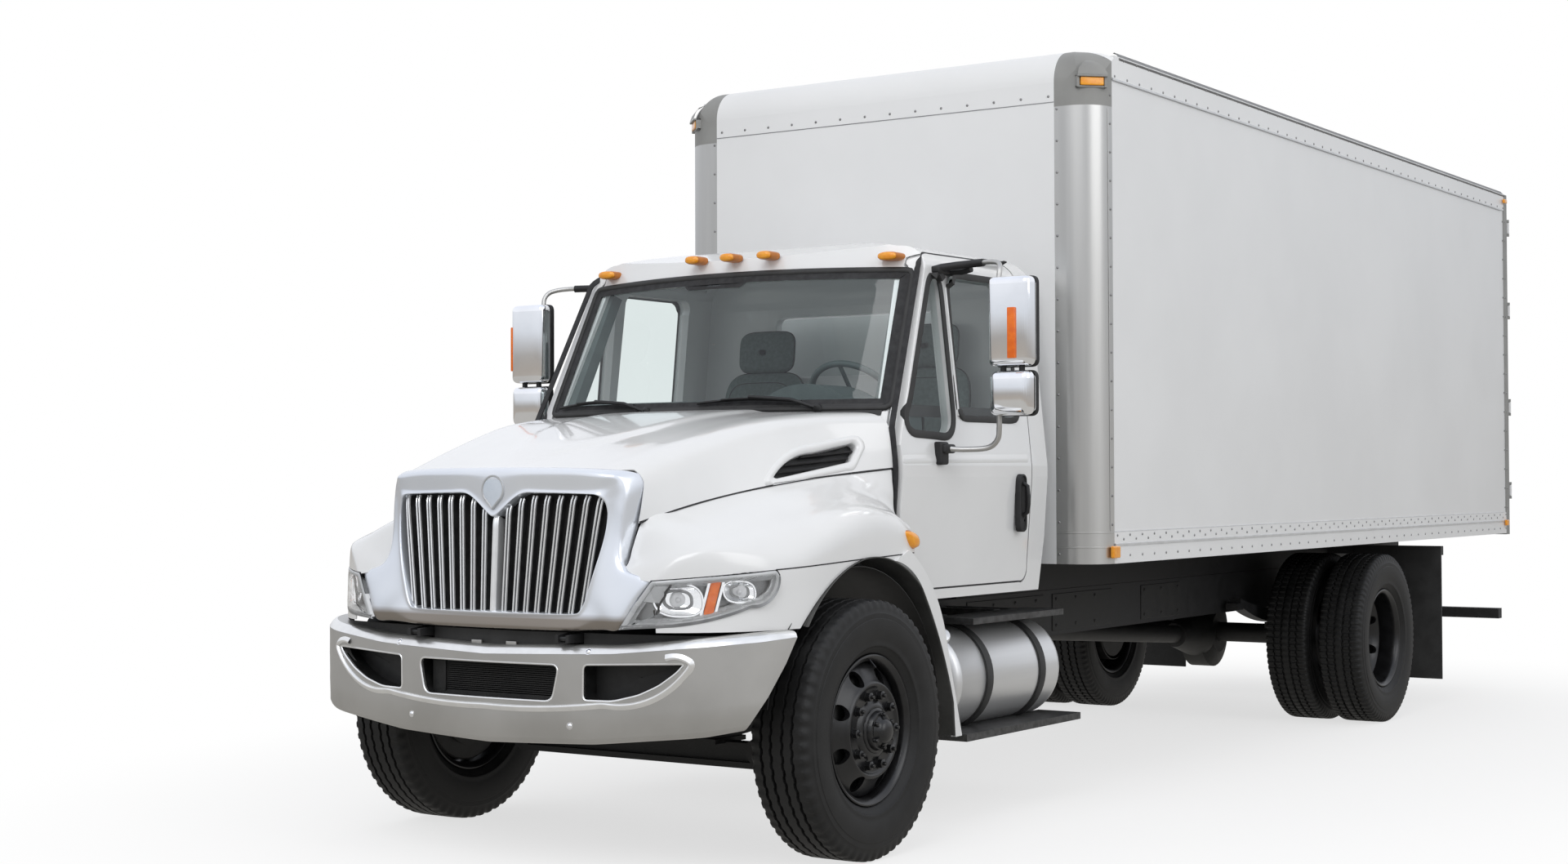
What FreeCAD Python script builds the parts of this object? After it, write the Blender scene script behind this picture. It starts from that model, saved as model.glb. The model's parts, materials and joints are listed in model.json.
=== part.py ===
"""Box truck: a tilting-hood cab ahead of a 22 ft dry van body.

Millimetres. +Z is up, +X is the driver's (left) side and +Y points to the rear. While the pieces are
built, Y is measured from the front axle; save() moves it to the middle of the truck's length.
"""

import FreeCAD, Part
import math
import os

from FreeCAD import Vector

# Driving dimensions.
WHEELBASE = 5994
BUMPER_Y = -1010
TAIL_Y = 8711
TYRE_R = 521
TYRE_WIDTH = 279
RIM_R = 286
RIM_FLANGE_R = 300
RIM_WIDTH = 210
RIM_LIP = 12
FRONT_WHEEL_X = 1057
DUAL_INNER_X = 754
DUAL_OUTER_X = 1092
KINGPIN_X = 900
KINGPIN_R = 24
HUB_BORE_R = 42
PIN_CLEARANCE = 0.05
MOVING_GAP = 6

RAIL_X = 430
RAIL_FLANGE = 80
RAIL_WALL = 9
RAIL_BOTTOM = 690
RAIL_TOP = 930
RAIL_FRONT_Y = -790
RAIL_REAR_Y = 8540

BOX_HALF = 1219
BOX_FRONT = 1953
BOX_REAR = 8655
BOX_BOTTOM = 1113
BOX_TOP = 3553
BOX_WALL = 25
BOX_RADIUS = 165
HEADER_TOP = 3583
HEADER_REAR = 2146
CORNER_R = 190
CORNER_REACH = 604
RAIL_PROUD = 6
BASE_RAIL_TOP = 1262
TOP_RAIL_BOTTOM = 3436
FRONT_RAIL_BOTTOM = 3323
POST_FRONT_WIDTH = 225
POST_SIDE_WIDTH = 165
CAP_BOTTOM = 3300
DECK_TOP = 1255
DECK_THICK = 45
REAR_FRAME_DEPTH = 80
REAR_POST = 29
HEADER_BOTTOM = 3456

CAB_BOTTOM = 1000
CAB_WALL = 50
CAB_FRONT = 315
CAB_LOWER_FRONT = 455
CAB_LEDGE = 1620
CAB_BACK = 1810
BELT_Z = 1570
BELT_X = 1022
ROOF_SIDE_X = 930
ROOF_SIDE_Z = 2470
FRONT_SWEEP_R = 3000
SCREEN_BASE_Z = 1810
SCREEN_TOP_Z = 2447
SCREEN_BASE_Y = 385
SCREEN_SLOPE = 0.48
DOOR_THICK = 60

HOOD_REAR = 300
HOOD_WALL = 25
HOOD_HINGE_Y = -970
HOOD_HINGE_Z = 915

MIDDLE_Y = (BUMPER_Y + TAIL_Y) / 2


# Small tools. An outline is a start point, then (u, v) for a line or (um, vm, u, v) for an arc by way of um, vm.
def place(plane, u, v, w):
    if plane == "xy":
        return Vector(u, v, w)
    if plane == "xz":
        return Vector(u, w, v)
    return Vector(w, u, v)


def outline(plane, w, start, *steps):
    edges = []
    here = place(plane, start[0], start[1], w)
    for step in list(steps) + [start]:
        there = place(plane, step[-2], step[-1], w)
        if here.distanceToPoint(there) < 1e-6:
            continue
        if len(step) == 4:
            edges.append(Part.Arc(here, place(plane, step[0], step[1], w), there).toShape())
        else:
            edges.append(Part.LineSegment(here, there).toShape())
        here = there
    return Part.Wire(edges)


def both_halves(start, *steps):
    """A right-hand outline from the middle line back to it, closed by its mirror image."""
    points = [start] + list(steps)
    path = points[:]
    for here, step in zip(points[-2::-1], points[:0:-1]):
        end = (-here[-2], here[-1])
        path.append((-step[0], step[1]) + end if len(step) == 4 else end)
    return path


def prism(plane, low, high, start, *steps):
    face = Part.Face(outline(plane, low, start, *steps))
    return face.extrude(place(plane, 0, 0, high - low))


def slanted(z_low, z_high, slope, start, *steps):
    """A plan outline, drawn at z_low, that moves back by slope for each unit of height."""
    face = Part.Face(outline("xy", z_low, start, *steps))
    return face.extrude(Vector(0, slope * (z_high - z_low), z_high - z_low))


def block(x, y, z):
    return Part.makeBox(x[1] - x[0], y[1] - y[0], z[1] - z[0], Vector(x[0], y[0], z[0]))


def everywhere(x=(-1300, 1300), y=(0, 2200), z=(900, 2800)):
    return block(x, y, z)


def rod(radius, start, end):
    start, end = Vector(*start), Vector(*end)
    return Part.makeCylinder(radius, (end - start).Length, start, end - start)


def spun(start, *steps):
    """An (x, radius) outline turned about the X axis."""
    face = Part.Face(outline("xz", 0, start, *steps))
    return face.revolve(Vector(0, 0, 0), Vector(1, 0, 0), 360)


def tube_path(radius, points):
    """A bent round bar: straight runs with a ball at each bend."""
    bar = rod(radius, points[0], points[1])
    for start, end in zip(points[1:], points[2:]):
        bar = bar.fuse(Part.makeSphere(radius, Vector(*start)))
        bar = bar.fuse(rod(radius, start, end))
    return bar.removeSplitter()


def moved(shape, x=0, y=0, z=0):
    copy = shape.copy()
    copy.translate(Vector(x, y, z))
    return copy


def mirrored(shape):
    return shape.mirror(Vector(0, 0, 0), Vector(1, 0, 0))


def both_sides(shape):
    return Part.makeCompound([shape, mirrored(shape)])


def joined(shapes):
    whole = shapes[0]
    for shape in shapes[1:]:
        whole = whole.fuse(shape)
    return whole.removeSplitter()


def save(name, shape):
    shape = moved(shape, y=-MIDDLE_Y)
    solids = shape.Solids
    if not solids or not shape.isValid():
        raise RuntimeError(name + " is not a valid solid")
    if len(solids) == 1:
        shape = solids[0]
    else:
        shape = Part.makeCompound(solids)
    shape.exportStep("parts/" + name + ".step")
    box = shape.optimalBoundingBox()
    print(name, len(solids), round(box.XMin), round(box.XMax), round(box.YMin), round(box.YMax),
          round(box.ZMin), round(box.ZMax))


def save_pair(name, shape):
    save(name + "_left", shape)
    save(name + "_right", mirrored(shape))


# Wheels, drawn on the X axis with the outer face towards +X.
def tyre():
    half = TYRE_WIDTH / 2
    bead = RIM_WIDTH / 2 - RIM_LIP
    tread = half - 22
    shoulder = half - 8
    lip = RIM_FLANGE_R + 1
    return spun(*both_halves((0, RIM_R), (bead, RIM_R), (bead, lip), (bead + 14, lip + 8),
                               (half, RIM_R + 115, shoulder, TYRE_R - 24), (tread, TYRE_R), (0, TYRE_R)))


def rim_barrel():
    edge = RIM_WIDTH / 2
    inner = RIM_R - 12
    return spun((-edge, inner + 6), (edge, inner + 6), (edge, RIM_FLANGE_R), (edge - RIM_LIP, RIM_FLANGE_R),
                (edge - RIM_LIP, RIM_R), (-edge + RIM_LIP, RIM_R), (-edge + RIM_LIP, RIM_FLANGE_R),
                (-edge, RIM_FLANGE_R))


def hand_holes(x_low, x_high, count, circle_r, hole_r):
    holes = []
    for i in range(count):
        turn = 2 * math.pi * (i + 0.5) / count
        y, z = circle_r * math.cos(turn), circle_r * math.sin(turn)
        holes.append(rod(hole_r, (x_low, y, z), (x_high, y, z)))
    return joined(holes)


def nuts(x_low, x_high, count=10, circle_r=285.75 / 2, nut_r=17):
    ring = []
    for i in range(count):
        turn = 2 * math.pi * i / count
        y, z = circle_r * math.cos(turn), circle_r * math.sin(turn)
        ring.append(rod(nut_r, (x_low, y, z), (x_high, y, z)))
    return ring


HUB_FACE = 118
DISC_THICK = 14


def front_rim():
    edge = RIM_R - 3
    disc = spun((HUB_FACE - DISC_THICK, HUB_BORE_R + 20), (HUB_FACE, HUB_BORE_R + 20), (HUB_FACE, 175),
                (92, 215), (60, edge), (60 - DISC_THICK, edge), (78, 210), (HUB_FACE - DISC_THICK, 168))
    disc = disc.cut(hand_holes(0, 140, 8, 215, 27))
    hub = spun((-60, HUB_BORE_R), (HUB_FACE + 50, HUB_BORE_R), (HUB_FACE + 50, 60), (HUB_FACE + 12, 85),
               (HUB_FACE + 12, 105), (HUB_FACE, 110), (HUB_FACE - DISC_THICK, 120), (-60, 120))
    cap = spun((HUB_FACE + 50, 0), (HUB_FACE + 75, 0), (HUB_FACE + 75, 48), (HUB_FACE + 50, 60))
    drum = spun((-75, 196), (-60, 196), (70, 196), (70, 110), (84, 110), (84, 208), (-75, 208))
    return joined([rim_barrel(), disc, hub, cap, drum] + nuts(HUB_FACE - 1, HUB_FACE + 38))


DUAL_FACE = (DUAL_INNER_X + DUAL_OUTER_X) / 2


def dual_disc(x, side):
    """One dished disc; side is +1 for the outer wheel and -1 for the inner one."""
    edge = RIM_R - 3
    face = DUAL_FACE
    disc = spun((face, 100), (face, 175), (face + side * 32, 215), (x - side * 30, edge),
                (x - side * 16, edge), (face + side * 48, 210), (face + side * DISC_THICK, 168),
                (face + side * DISC_THICK, 100))
    return disc.cut(hand_holes(DUAL_INNER_X - 60, DUAL_OUTER_X + 60, 8, 225, 27))


def rear_rims():
    outer = moved(rim_barrel(), x=DUAL_OUTER_X)
    inner = moved(rim_barrel(), x=DUAL_INNER_X)
    face = DUAL_FACE + DISC_THICK
    hub = spun((DUAL_FACE - 60, HUB_BORE_R), (face + 110, HUB_BORE_R), (face + 110, 75), (face + 30, 100),
               (face + 30, 115), (face, 118), (DUAL_FACE - 60, 118))
    flange = spun((face + 110, 0), (face + 135, 0), (face + 135, 80), (face + 110, 80))
    drum = spun((640, 196), (DUAL_FACE - 75, 196), (DUAL_FACE - 75, 110), (DUAL_FACE - 60, 110),
                (DUAL_FACE - 60, 208), (640, 208))
    parts = [outer, inner, dual_disc(DUAL_OUTER_X, 1), dual_disc(DUAL_INNER_X, -1), hub, flange, drum]
    return joined(parts + nuts(face - 1, face + 36))


def save_wheels():
    axle_z = TYRE_R
    save_pair("front_tyre", moved(tyre(), x=FRONT_WHEEL_X, z=axle_z))
    save_pair("front_rim", moved(front_rim(), x=FRONT_WHEEL_X, z=axle_z))
    duals = [moved(tyre(), x=x, y=WHEELBASE, z=axle_z) for x in (DUAL_INNER_X, DUAL_OUTER_X)]
    save_pair("rear_tyres", Part.makeCompound(duals))
    save_pair("rear_rims", moved(rear_rims(), y=WHEELBASE, z=axle_z))


# Steering knuckles and axles.
EYE_HALF = 62
EAR_THICK = 34
EYE_R = 48


def knuckle():
    z = TYRE_R
    gap = EYE_HALF + 0.5
    ears = [block((KINGPIN_X - 45, KINGPIN_X + 70), (-45, 45), (z + s * gap, z + s * (gap + EAR_THICK))
                  if s > 0 else (z - gap - EAR_THICK, z - gap)) for s in (1, -1)]
    web = block((KINGPIN_X + EYE_R + 7, KINGPIN_X + 75), (-45, 45), (z - gap - EAR_THICK, z + gap + EAR_THICK))
    pin = rod(KINGPIN_R, (KINGPIN_X, 0, z - gap - 20), (KINGPIN_X, 0, z + gap + 20))
    spindle = rod(HUB_BORE_R - PIN_CLEARANCE, (KINGPIN_X + 74, 0, z), (FRONT_WHEEL_X + HUB_FACE + 30, 0, z))
    plate = rod(190, (KINGPIN_X + 66, 0, z), (KINGPIN_X + 75, 0, z))
    arm = block((KINGPIN_X - 40, KINGPIN_X), (30, 230), (z - gap - EAR_THICK, z - gap - 12))
    return joined(ears + [web, pin, spindle, plate, arm])


def front_axle():
    z = TYRE_R
    beam = prism("xz", -38, 38, (-860, 565), (-860, 480), (-640, 330), (640, 330), (860, 480), (860, 565),
                 (790, 560), (580, 435), (-580, 435), (-790, 560))
    recess = prism("xz", 14, 60, (-600, 355), (600, 355), (560, 410), (-560, 410))
    beam = beam.cut(recess).cut(recess.mirror(Vector(0, 0, 0), Vector(0, 1, 0)))
    eyes = [rod(EYE_R, (s * KINGPIN_X, 0, z - EYE_HALF), (s * KINGPIN_X, 0, z + EYE_HALF)) for s in (1, -1)]
    pads = [block((s * 430 - 45, s * 430 + 45), (-110, 110), (430, 450)) for s in (1, -1)]
    whole = joined([beam] + eyes + pads)
    for s in (1, -1):
        bore = rod(KINGPIN_R + PIN_CLEARANCE, (s * KINGPIN_X, 0, z - 100), (s * KINGPIN_X, 0, z + 100))
        whole = whole.cut(bore)
    return whole


def rear_axle():
    z = TYRE_R
    tube = rod(62, (-860, 0, z), (860, 0, z))
    stubs = [rod(HUB_BORE_R - PIN_CLEARANCE, (s * 850, 0, z), (s * (DUAL_FACE + 90), 0, z)) for s in (1, -1)]
    banjo = spun((-110, 0), (-110, 130), (-70, 225), (70, 225), (110, 130), (110, 0))
    banjo = moved(banjo, z=z)
    nose = Part.makeCone(150, 75, 300, Vector(0, -160, z), Vector(0, -1, 0))
    pads = [block((s * 505 - 45, s * 505 + 45), (-110, 110), (560, 600)) for s in (1, -1)]
    plates = [rod(190, (s * 648, 0, z), (s * 660, 0, z)) for s in (1, -1)]
    shaft = rod(55, (0, -440, z + 5), (0, -2600, z + 160))
    carrier = rod(60, (0, -2590, z + 160), (0, GEARBOX_REAR - WHEELBASE + 10, z + 200))
    return moved(joined([tube, banjo, nose, shaft, carrier] + stubs + pads + plates), y=WHEELBASE)


def leaf_spring(x, y, half, z_eye, z_seat, thick):
    """A bowed pack with a hanger at each end, from its eyes up to the rail."""
    pack = prism("yz", x - 38, x + 38, (y - half, z_eye), (y, z_seat, y + half, z_eye),
                 (y + half, z_eye + thick * 0.5), (y, z_seat + thick, y - half, z_eye + thick * 0.5))
    hangers = [block((x - 38, x + 38), (y + s * half - 45, y + s * half + 45), (z_eye - 25, RAIL_BOTTOM + 60))
               for s in (1, -1)]
    return joined([pack] + hangers)


def save_running_gear():
    save_pair("knuckle", knuckle())
    save("front_axle", front_axle())
    save("rear_axle", rear_axle())
    front = leaf_spring(430, 0, 640, 590, 450, 70)
    front = front.cut(block((380, 480), (-800, 800), (RAIL_BOTTOM, RAIL_TOP)))
    rear = leaf_spring(505, WHEELBASE, 700, 735, 600, 90)
    rear = rear.cut(block((0, RAIL_X), (5000, 7000), (RAIL_BOTTOM, RAIL_TOP)))
    save("leaf_springs", Part.makeCompound([front, mirrored(front), rear, mirrored(rear)]))


# Chassis.
def frame_rail():
    inner = RAIL_X - RAIL_FLANGE
    web = RAIL_X - RAIL_WALL
    rail = prism("xz", RAIL_FRONT_Y, RAIL_REAR_Y, (RAIL_X, RAIL_BOTTOM), (RAIL_X, RAIL_TOP), (inner, RAIL_TOP),
                 (inner, RAIL_TOP - RAIL_WALL), (web, RAIL_TOP - RAIL_WALL), (web, RAIL_BOTTOM + RAIL_WALL),
                 (inner, RAIL_BOTTOM + RAIL_WALL), (inner, RAIL_BOTTOM))
    return rail


CROSSMEMBER_Y = (-740, 1300, 2300, 3600, 4900, 6700, 7700)
CROSSMEMBER_LOW = 800
GEARBOX_REAR = 1180
PINTLE_X = 85.7
PINTLE_Z = 44.5
PINTLE_HOLE_R = 7


def crossmembers():
    web = RAIL_X - RAIL_WALL
    members = []
    for y in CROSSMEMBER_Y:
        members.append(block((-web, web), (y - 40, y + 40), (CROSSMEMBER_LOW, RAIL_TOP - 15)))
    end = block((-web, web), (RAIL_REAR_Y - 12, RAIL_REAR_Y), (RAIL_BOTTOM + RAIL_WALL, RAIL_TOP - RAIL_WALL))
    middle = (RAIL_BOTTOM + RAIL_TOP) / 2
    for x in (-PINTLE_X / 2, PINTLE_X / 2):
        for z in (middle - PINTLE_Z / 2, middle + PINTLE_Z / 2):
            end = end.cut(rod(PINTLE_HOLE_R, (x, RAIL_REAR_Y - 30, z), (x, RAIL_REAR_Y + 30, z)))
    return Part.makeCompound(members + [end])


TANK_X = 765
TANK_Z = 625
TANK_R = 235
TANK_FRONT = 960
TANK_REAR = 2010


def fuel_tank():
    tank = rod(TANK_R, (TANK_X, TANK_FRONT, TANK_Z), (TANK_X, TANK_REAR, TANK_Z))
    tank = tank.makeFillet(30, [e for e in tank.Edges if len(e.Vertexes) == 1])
    filler = rod(45, (TANK_X + 90, TANK_FRONT + 90, TANK_Z + 150), (TANK_X + 130, TANK_FRONT + 90, TANK_Z + 262))
    straps = []
    for y in (TANK_FRONT + 310, TANK_REAR - 230):
        band = rod(TANK_R + 5, (TANK_X, y - 30, TANK_Z), (TANK_X, y + 30, TANK_Z))
        bracket = block((RAIL_X, TANK_X), (y - 30, y + 30), (TANK_Z - TANK_R - 5, RAIL_TOP - 30))
        straps.append(band.fuse(bracket).cut(tank))
    return tank.fuse(filler).removeSplitter(), Part.makeCompound(straps)


BATTERY_Y = (1000, 1750)


def battery_box():
    case = block((-960, -RAIL_X), BATTERY_Y, (470, 850))
    return case.makeFillet(20, case.Edges)


STEP_TABLE = (  # x low, x high, y low, y high, z low, z high
    (840, 1065, TANK_FRONT - 10, TANK_REAR + 45, 372, 404),
    (800, 1010, TANK_FRONT + 150, TANK_REAR - 20, 872, 900),
    (-1065, -840, BATTERY_Y[0] - 40, BATTERY_Y[1] + 40, 372, 404),
    (-1010, -800, BATTERY_Y[0], BATTERY_Y[1], 872, 900),
)


def side_steps():
    treads = []
    for x_low, x_high, y_low, y_high, z_low, z_high in STEP_TABLE:
        tread = block((x_low, x_high), (y_low, y_high), (z_low, z_high))
        side = 1 if x_low > 0 else -1
        inboard = x_low if side > 0 else x_high
        reach = sorted((side * (RAIL_X + 1), inboard + side * 10))
        for y in (y_low + 70, y_high - 110):
            top = z_high if z_high > 600 else z_low + 20
            tread = tread.fuse(block(reach, (y, y + 40), (z_low, top)))
        treads.append(tread)
    posts = []
    for y in (BATTERY_Y[0] + 40, BATTERY_Y[1] - 80):
        posts.append(block((-RAIL_X - 40, -RAIL_X), (y, y + 40), (372, RAIL_TOP - 20)))
    return treads, posts


# Front bumper, grille and lamps.
BUMPER_THICK = 40


def bumper_plan(z_low, z_high, inset, back):
    side = 1165 - inset
    return prism("xy", z_low, z_high, *both_halves((0, back), (side, back), (side, -420),
                                                   (1080 - inset, -770 + inset * 0.6, 900, -895 + inset),
                                                   (460, -975 + inset, 0, BUMPER_Y + inset)))


def front_bumper():
    shell = bumper_plan(450, 1000, 0, -300).cut(bumper_plan(440, 1010, BUMPER_THICK, -290))
    face = prism("xz", -1100, 0, *both_halves((0, 876), (600, 894, 1200, 950), (1190, 700),
                                              (1125, 590, 970, 562), (500, 516, 0, 500)))
    flange = prism("xz", -1100, 0, *both_halves((0, 876), (600, 894, 1200, 950), (1200, 942),
                                                (600, 886, 0, 868)))
    flange = bumper_plan(450, 1000, 10, -300).cut(bumper_plan(440, 1010, 84, -290)).common(flange)
    shell = shell.common(face).fuse(flange)
    ends = prism("yz", -1300, 1300, (-1200, 300), (-860, 300), (-750, 600), (-490, 1000), (-1200, 1000))
    shell = shell.common(ends)
    centre = prism("xz", -1200, -800, (-354, 807), (-315, 680), (315, 680), (354, 807))
    side = prism("xz", -1200, -700, (478, 814), (476, 687), (700, 720, 885, 831))
    shell = shell.cut(centre).cut(side).cut(mirrored(side))
    brackets = [block((s * 390 - 40, s * 390 + 40), (-985 + BUMPER_THICK, RAIL_FRONT_Y + 60), (600, 680))
                for s in (1, -1)]
    return joined([shell] + brackets)


def valance():
    """The black strip that closes the gap between the bumper and the hood, with slots for the hood's hinges."""
    strip = bumper_plan(856, 934, 84, -300).cut(bumper_plan(850, 940, 92, -290))
    strip = strip.common(block((-1000, 1000), (-1100, -700), (0, 1000)))
    slot = block((HOOD_EYE_X[0] - 26, HOOD_EYE_X[1] + 26), (-1100, -700), (885, 1000))
    return biggest(strip.cut(slot).cut(mirrored(slot)))


def radiator():
    """The core behind the grille, and a low cooler behind the bumper's middle opening."""
    core = block((-340, 340), (-800, -690), (RAIL_TOP + 10, 1400))
    cooler = block((-330, 330), (-930, -870), (640, 850))
    bracket = block((-60, 60), (-870, -780), (CROSSMEMBER_LOW, 850))
    mount = block((-60, 60), (-790, -700), (RAIL_TOP - 15, RAIL_TOP + 10))
    return joined([core, mount]), cooler.fuse(bracket).removeSplitter()


GRILLE_LEAN = 0.05
GRILLE_BASE_Z = 940
GRILLE_TOP_Z = 1570
GRILLE_DEPTH = 60
GRILLE_SHELL = 45
BARS_PER_SIDE = 8
HOOD_EYE_X = (372, 396)
HOOD_PIN_R = 8


def grille_plan(inset):
    return slanted(GRILLE_BASE_Z - 60, GRILLE_TOP_Z + 60, GRILLE_LEAN,
                   *both_halves((0, -700 + inset), (640 - inset * 0.7, -700 + inset),
                                (632 - inset * 0.7, -780 + inset * 0.8),
                                (588 - inset * 0.6, -880 + inset * 0.8, 480, -946 + inset),
                                (240, -961 + inset, 0, -966 + inset)))


HOOD_FRONT = -905


def ahead_of_hood():
    """Everything ahead of the seam between the surround and the hood."""
    return prism("yz", -800, 800, (-1100, 900), (-1100, 1700), (HOOD_FRONT, 1700), (HOOD_FRONT, 1566),
                 (-790, 1541), (-776, 1490), (-812, 1360), (-860, 1190), (-895, 900))


def grille_zone():
    """All that the bright surround fills, out to the headlamps and back to the hood's front edge."""
    face = prism("xz", -1100, -600, *both_halves((0, 1572), (300, 1571, 560, 1558), (608, 1542, 620, 1490),
                                                 (614, 1330), (602, 1200), (625, 1152), (757, 1146),
                                                 (697, 1056), (637, 957), (0, 940)))
    wedges = front_corner(0).common(block((560, 800), (-1100, -700), (900, 1150)))
    body = grille_plan(0).fuse(wedges).fuse(mirrored(wedges)).common(ahead_of_hood()).common(face)
    pocket = lamp_pocket()
    return biggest(body.cut(pocket).cut(mirrored(pocket)))


def grille(zone):
    hole = prism("xz", -1100, -600, *both_halves((0, 1378), (120, 1465), (156, 1476), (495, 1468),
                                                 (530, 1440), (545, 1284, 470, 1050), (437, 1012),
                                                 (0, 1004)))
    inside = prism("xz", -1100, -600, *both_halves((0, 1545), (560, 1532), (592, 1500), (588, 1330),
                                                   (576, 1200), (560, 980), (0, 965)))
    surround = zone.cut(hole).cut(grille_plan(GRILLE_SHELL).common(inside))
    bars = []
    strip = grille_plan(8).cut(grille_plan(GRILLE_DEPTH - 10))
    for i in range(-BARS_PER_SIDE, BARS_PER_SIDE + 1):
        low, high = i * 54, i * 64
        half = 7 if i else 14
        bar = prism("xz", -1100, -600, (low - half, 985), (low + half, 985), (high + half, 1500),
                    (high - half, 1500))
        bars.append(strip.common(bar).common(zone))
    emblem = prism("xz", -1100, -600, (0, 1400), (58, 1465), (0, 1552, -58, 1465))
    bars.append(grille_plan(-6).cut(grille_plan(GRILLE_DEPTH - 10)).common(emblem))
    for side in (1, -1):
        eye = block(sorted((side * HOOD_EYE_X[0], side * HOOD_EYE_X[1])), (-985, -935), (898, 965))
        bars.append(eye)
    whole = biggest(joined([surround] + bars))
    return whole.cut(hood_pins(HOOD_PIN_R + PIN_CLEARANCE))


def hood_pin(side, radius):
    return rod(radius, (side * (HOOD_EYE_X[0] - 22), HOOD_HINGE_Y, HOOD_HINGE_Z),
               (side * (HOOD_EYE_X[1] + 22), HOOD_HINGE_Y, HOOD_HINGE_Z))


def hood_pins(radius):
    return Part.makeCompound([hood_pin(side, radius) for side in (1, -1)])


def hood_brackets():
    """A fork at each side, from the rail's end up to the hood's pin."""
    forks = []
    for side in (1, -1):
        plates = []
        for x in (HOOD_EYE_X[0] - 22, HOOD_EYE_X[1] + 6):
            plates.append(prism("yz", side * x if side > 0 else -x - 16, side * x + 16 if side > 0 else -x,
                                (-984, 900), (-984, 929), (-700, 945), (-700, RAIL_TOP), (-794, RAIL_TOP),
                                (-830, 895)))
        rib = block(sorted((side * (HOOD_EYE_X[0] - 22), side * (HOOD_EYE_X[1] + 22))), (-800, -700),
                    (RAIL_TOP, RAIL_TOP + 12))
        forks.append(joined(plates + [hood_pin(side, HOOD_PIN_R), rib]))
    return forks


# Hood, fenders and lamps, by sections across the truck.
HOOD_SECTIONS = (  # y, middle z, shoulder x and z, edge x and z
    (HOOD_FRONT, 1562, 548, 1530, 600, 1335),
    (-500, 1674, 625, 1648, 700, 1433),
    (-120, 1760, 705, 1740, 820, 1503),
    (200, 1802, 795, 1778, 918, 1541),
    (500, 1815, 950, 1790, 1004, 1568),
)


def hood_section(row, inset):
    y, middle, shoulder_x, shoulder_z, edge_x, edge_z = row
    low = edge_z - (0 if inset == 0 else 60)
    edge = edge_x - inset
    bend_x = shoulder_x + 20 - inset * 0.7
    bend_z = shoulder_z - 15 - inset * 0.7
    return outline("xz", y, (edge, low), (edge, edge_z), (shoulder_x + 45 - inset, shoulder_z - 60),
                   (bend_x, bend_z, shoulder_x - 40, shoulder_z + 12 - inset),
                   (0, middle - inset, -shoulder_x + 40, shoulder_z + 12 - inset),
                   (-bend_x, bend_z, -shoulder_x - 45 + inset, shoulder_z - 60), (-edge, edge_z), (-edge, low))


def hood_form(inset):
    return Part.makeLoft([hood_section(row, inset) for row in HOOD_SECTIONS], True, True)


FENDER_SECTIONS = (  # y, seam x and z, crest x and z, outer x and z, drop to z
    (-975, 600, 1095, 800, 1165, 860, 1100, 955),
    (-860, 610, 1190, 820, 1250, 950, 1140, 955),
    (-790, 624, 1362, 840, 1285, 1000, 1160, 955),
    (-640, 663, 1402, 885, 1325, 1060, 1180, 955),
    (-300, 766, 1474, 940, 1400, 1125, 1235, 955),
    (60, 878, 1528, 1005, 1450, 1131, 1290, 955),
    (300, 948, 1553, 1015, 1425, 1131, 1262, 955),
    (444, 992, 1564, 1010, 1375, 1105, 1222, 955),
)


def fender_section(row, inset):
    y, seam_x, seam_z, crest_x, crest_z, outer_x, outer_z, low = row
    inner = seam_x - 60
    low = low - inset
    outer = outer_x - inset
    return outline("xz", y, (inner, low), (inner, seam_z - inset), (seam_x, seam_z - inset),
                   (crest_x, crest_z - inset),
                   ((crest_x + outer) / 2 + 28, (crest_z + outer_z) / 2 + 22 - inset, outer, outer_z - inset),
                   (outer, low))


def fender_form(inset):
    return Part.makeLoft([fender_section(row, inset) for row in FENDER_SECTIONS], True, True)


def front_corner(inset):
    """The plan of the front corner, from the grille's edge round to the fender's side."""
    return slanted(700, 1800, 0.04, (500, 900), (500, -975 + inset), (640, -972 + inset),
                   (950, -800 + inset * 0.8, 1131 - inset, -400), (1131 - inset, 900))


LAMP_BACK = 70
LAMP_CORNER = (641, -962)
LAMP_TURN = 42.4


def headlamp_prism(grow):
    """The lamp's outline, drawn along the chord of its curve from the inner bottom corner."""
    lens = prism("xz", -300, 300, (-grow, 956 - grow), (58 - grow, 1052), (121 - grow, 1142 + grow),
                 (604 + grow, 1176 + grow), (617 + grow, 1157),
                 (592 + grow, 1080 - grow, 498 + grow, 1040 - grow), (360, 998 - grow, 199, 972 - grow))
    lens.rotate(Vector(0, 0, 0), Vector(0, 0, 1), LAMP_TURN)
    return moved(lens, x=LAMP_CORNER[0], y=LAMP_CORNER[1])


def lamp_pocket():
    return headlamp_prism(4).common(front_corner(-6).cut(front_corner(LAMP_BACK + 10)))


def headlamp():
    return biggest(front_corner(4).cut(front_corner(LAMP_BACK)).common(headlamp_prism(0)))


def wheel_arch():
    """What the front wheel's arch opens in the fender, in side view."""
    return prism("yz", 600, 1300, (-500, 300), (-430, 940), (-270, 1085, 15, 1203), (270, 1178, 465, 1066),
                 (600, 854, 722, 568), (770, 300))


def fender(zone, hood_solid):
    shell = fender_form(0).common(front_corner(0))
    shell = shell.cut(fender_form(HOOD_WALL).common(front_corner(HOOD_WALL)))
    shell = shell.cut(wheel_arch()).cut(lamp_pocket()).cut(hood_solid).cut(zone)
    shell = shell.cut(block((0, 1400), (443, 900), (0, 1700)))
    tail = prism("yz", 1060, 1131, (250, 1186), (360, 1228), (533, 1085, 668, 815), (790, 420), (735, 420),
                 (722, 568), (600, 854, 465, 1066), (380, 1140, 250, 1186))
    return biggest(shell.fuse(tail).removeSplitter())


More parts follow.
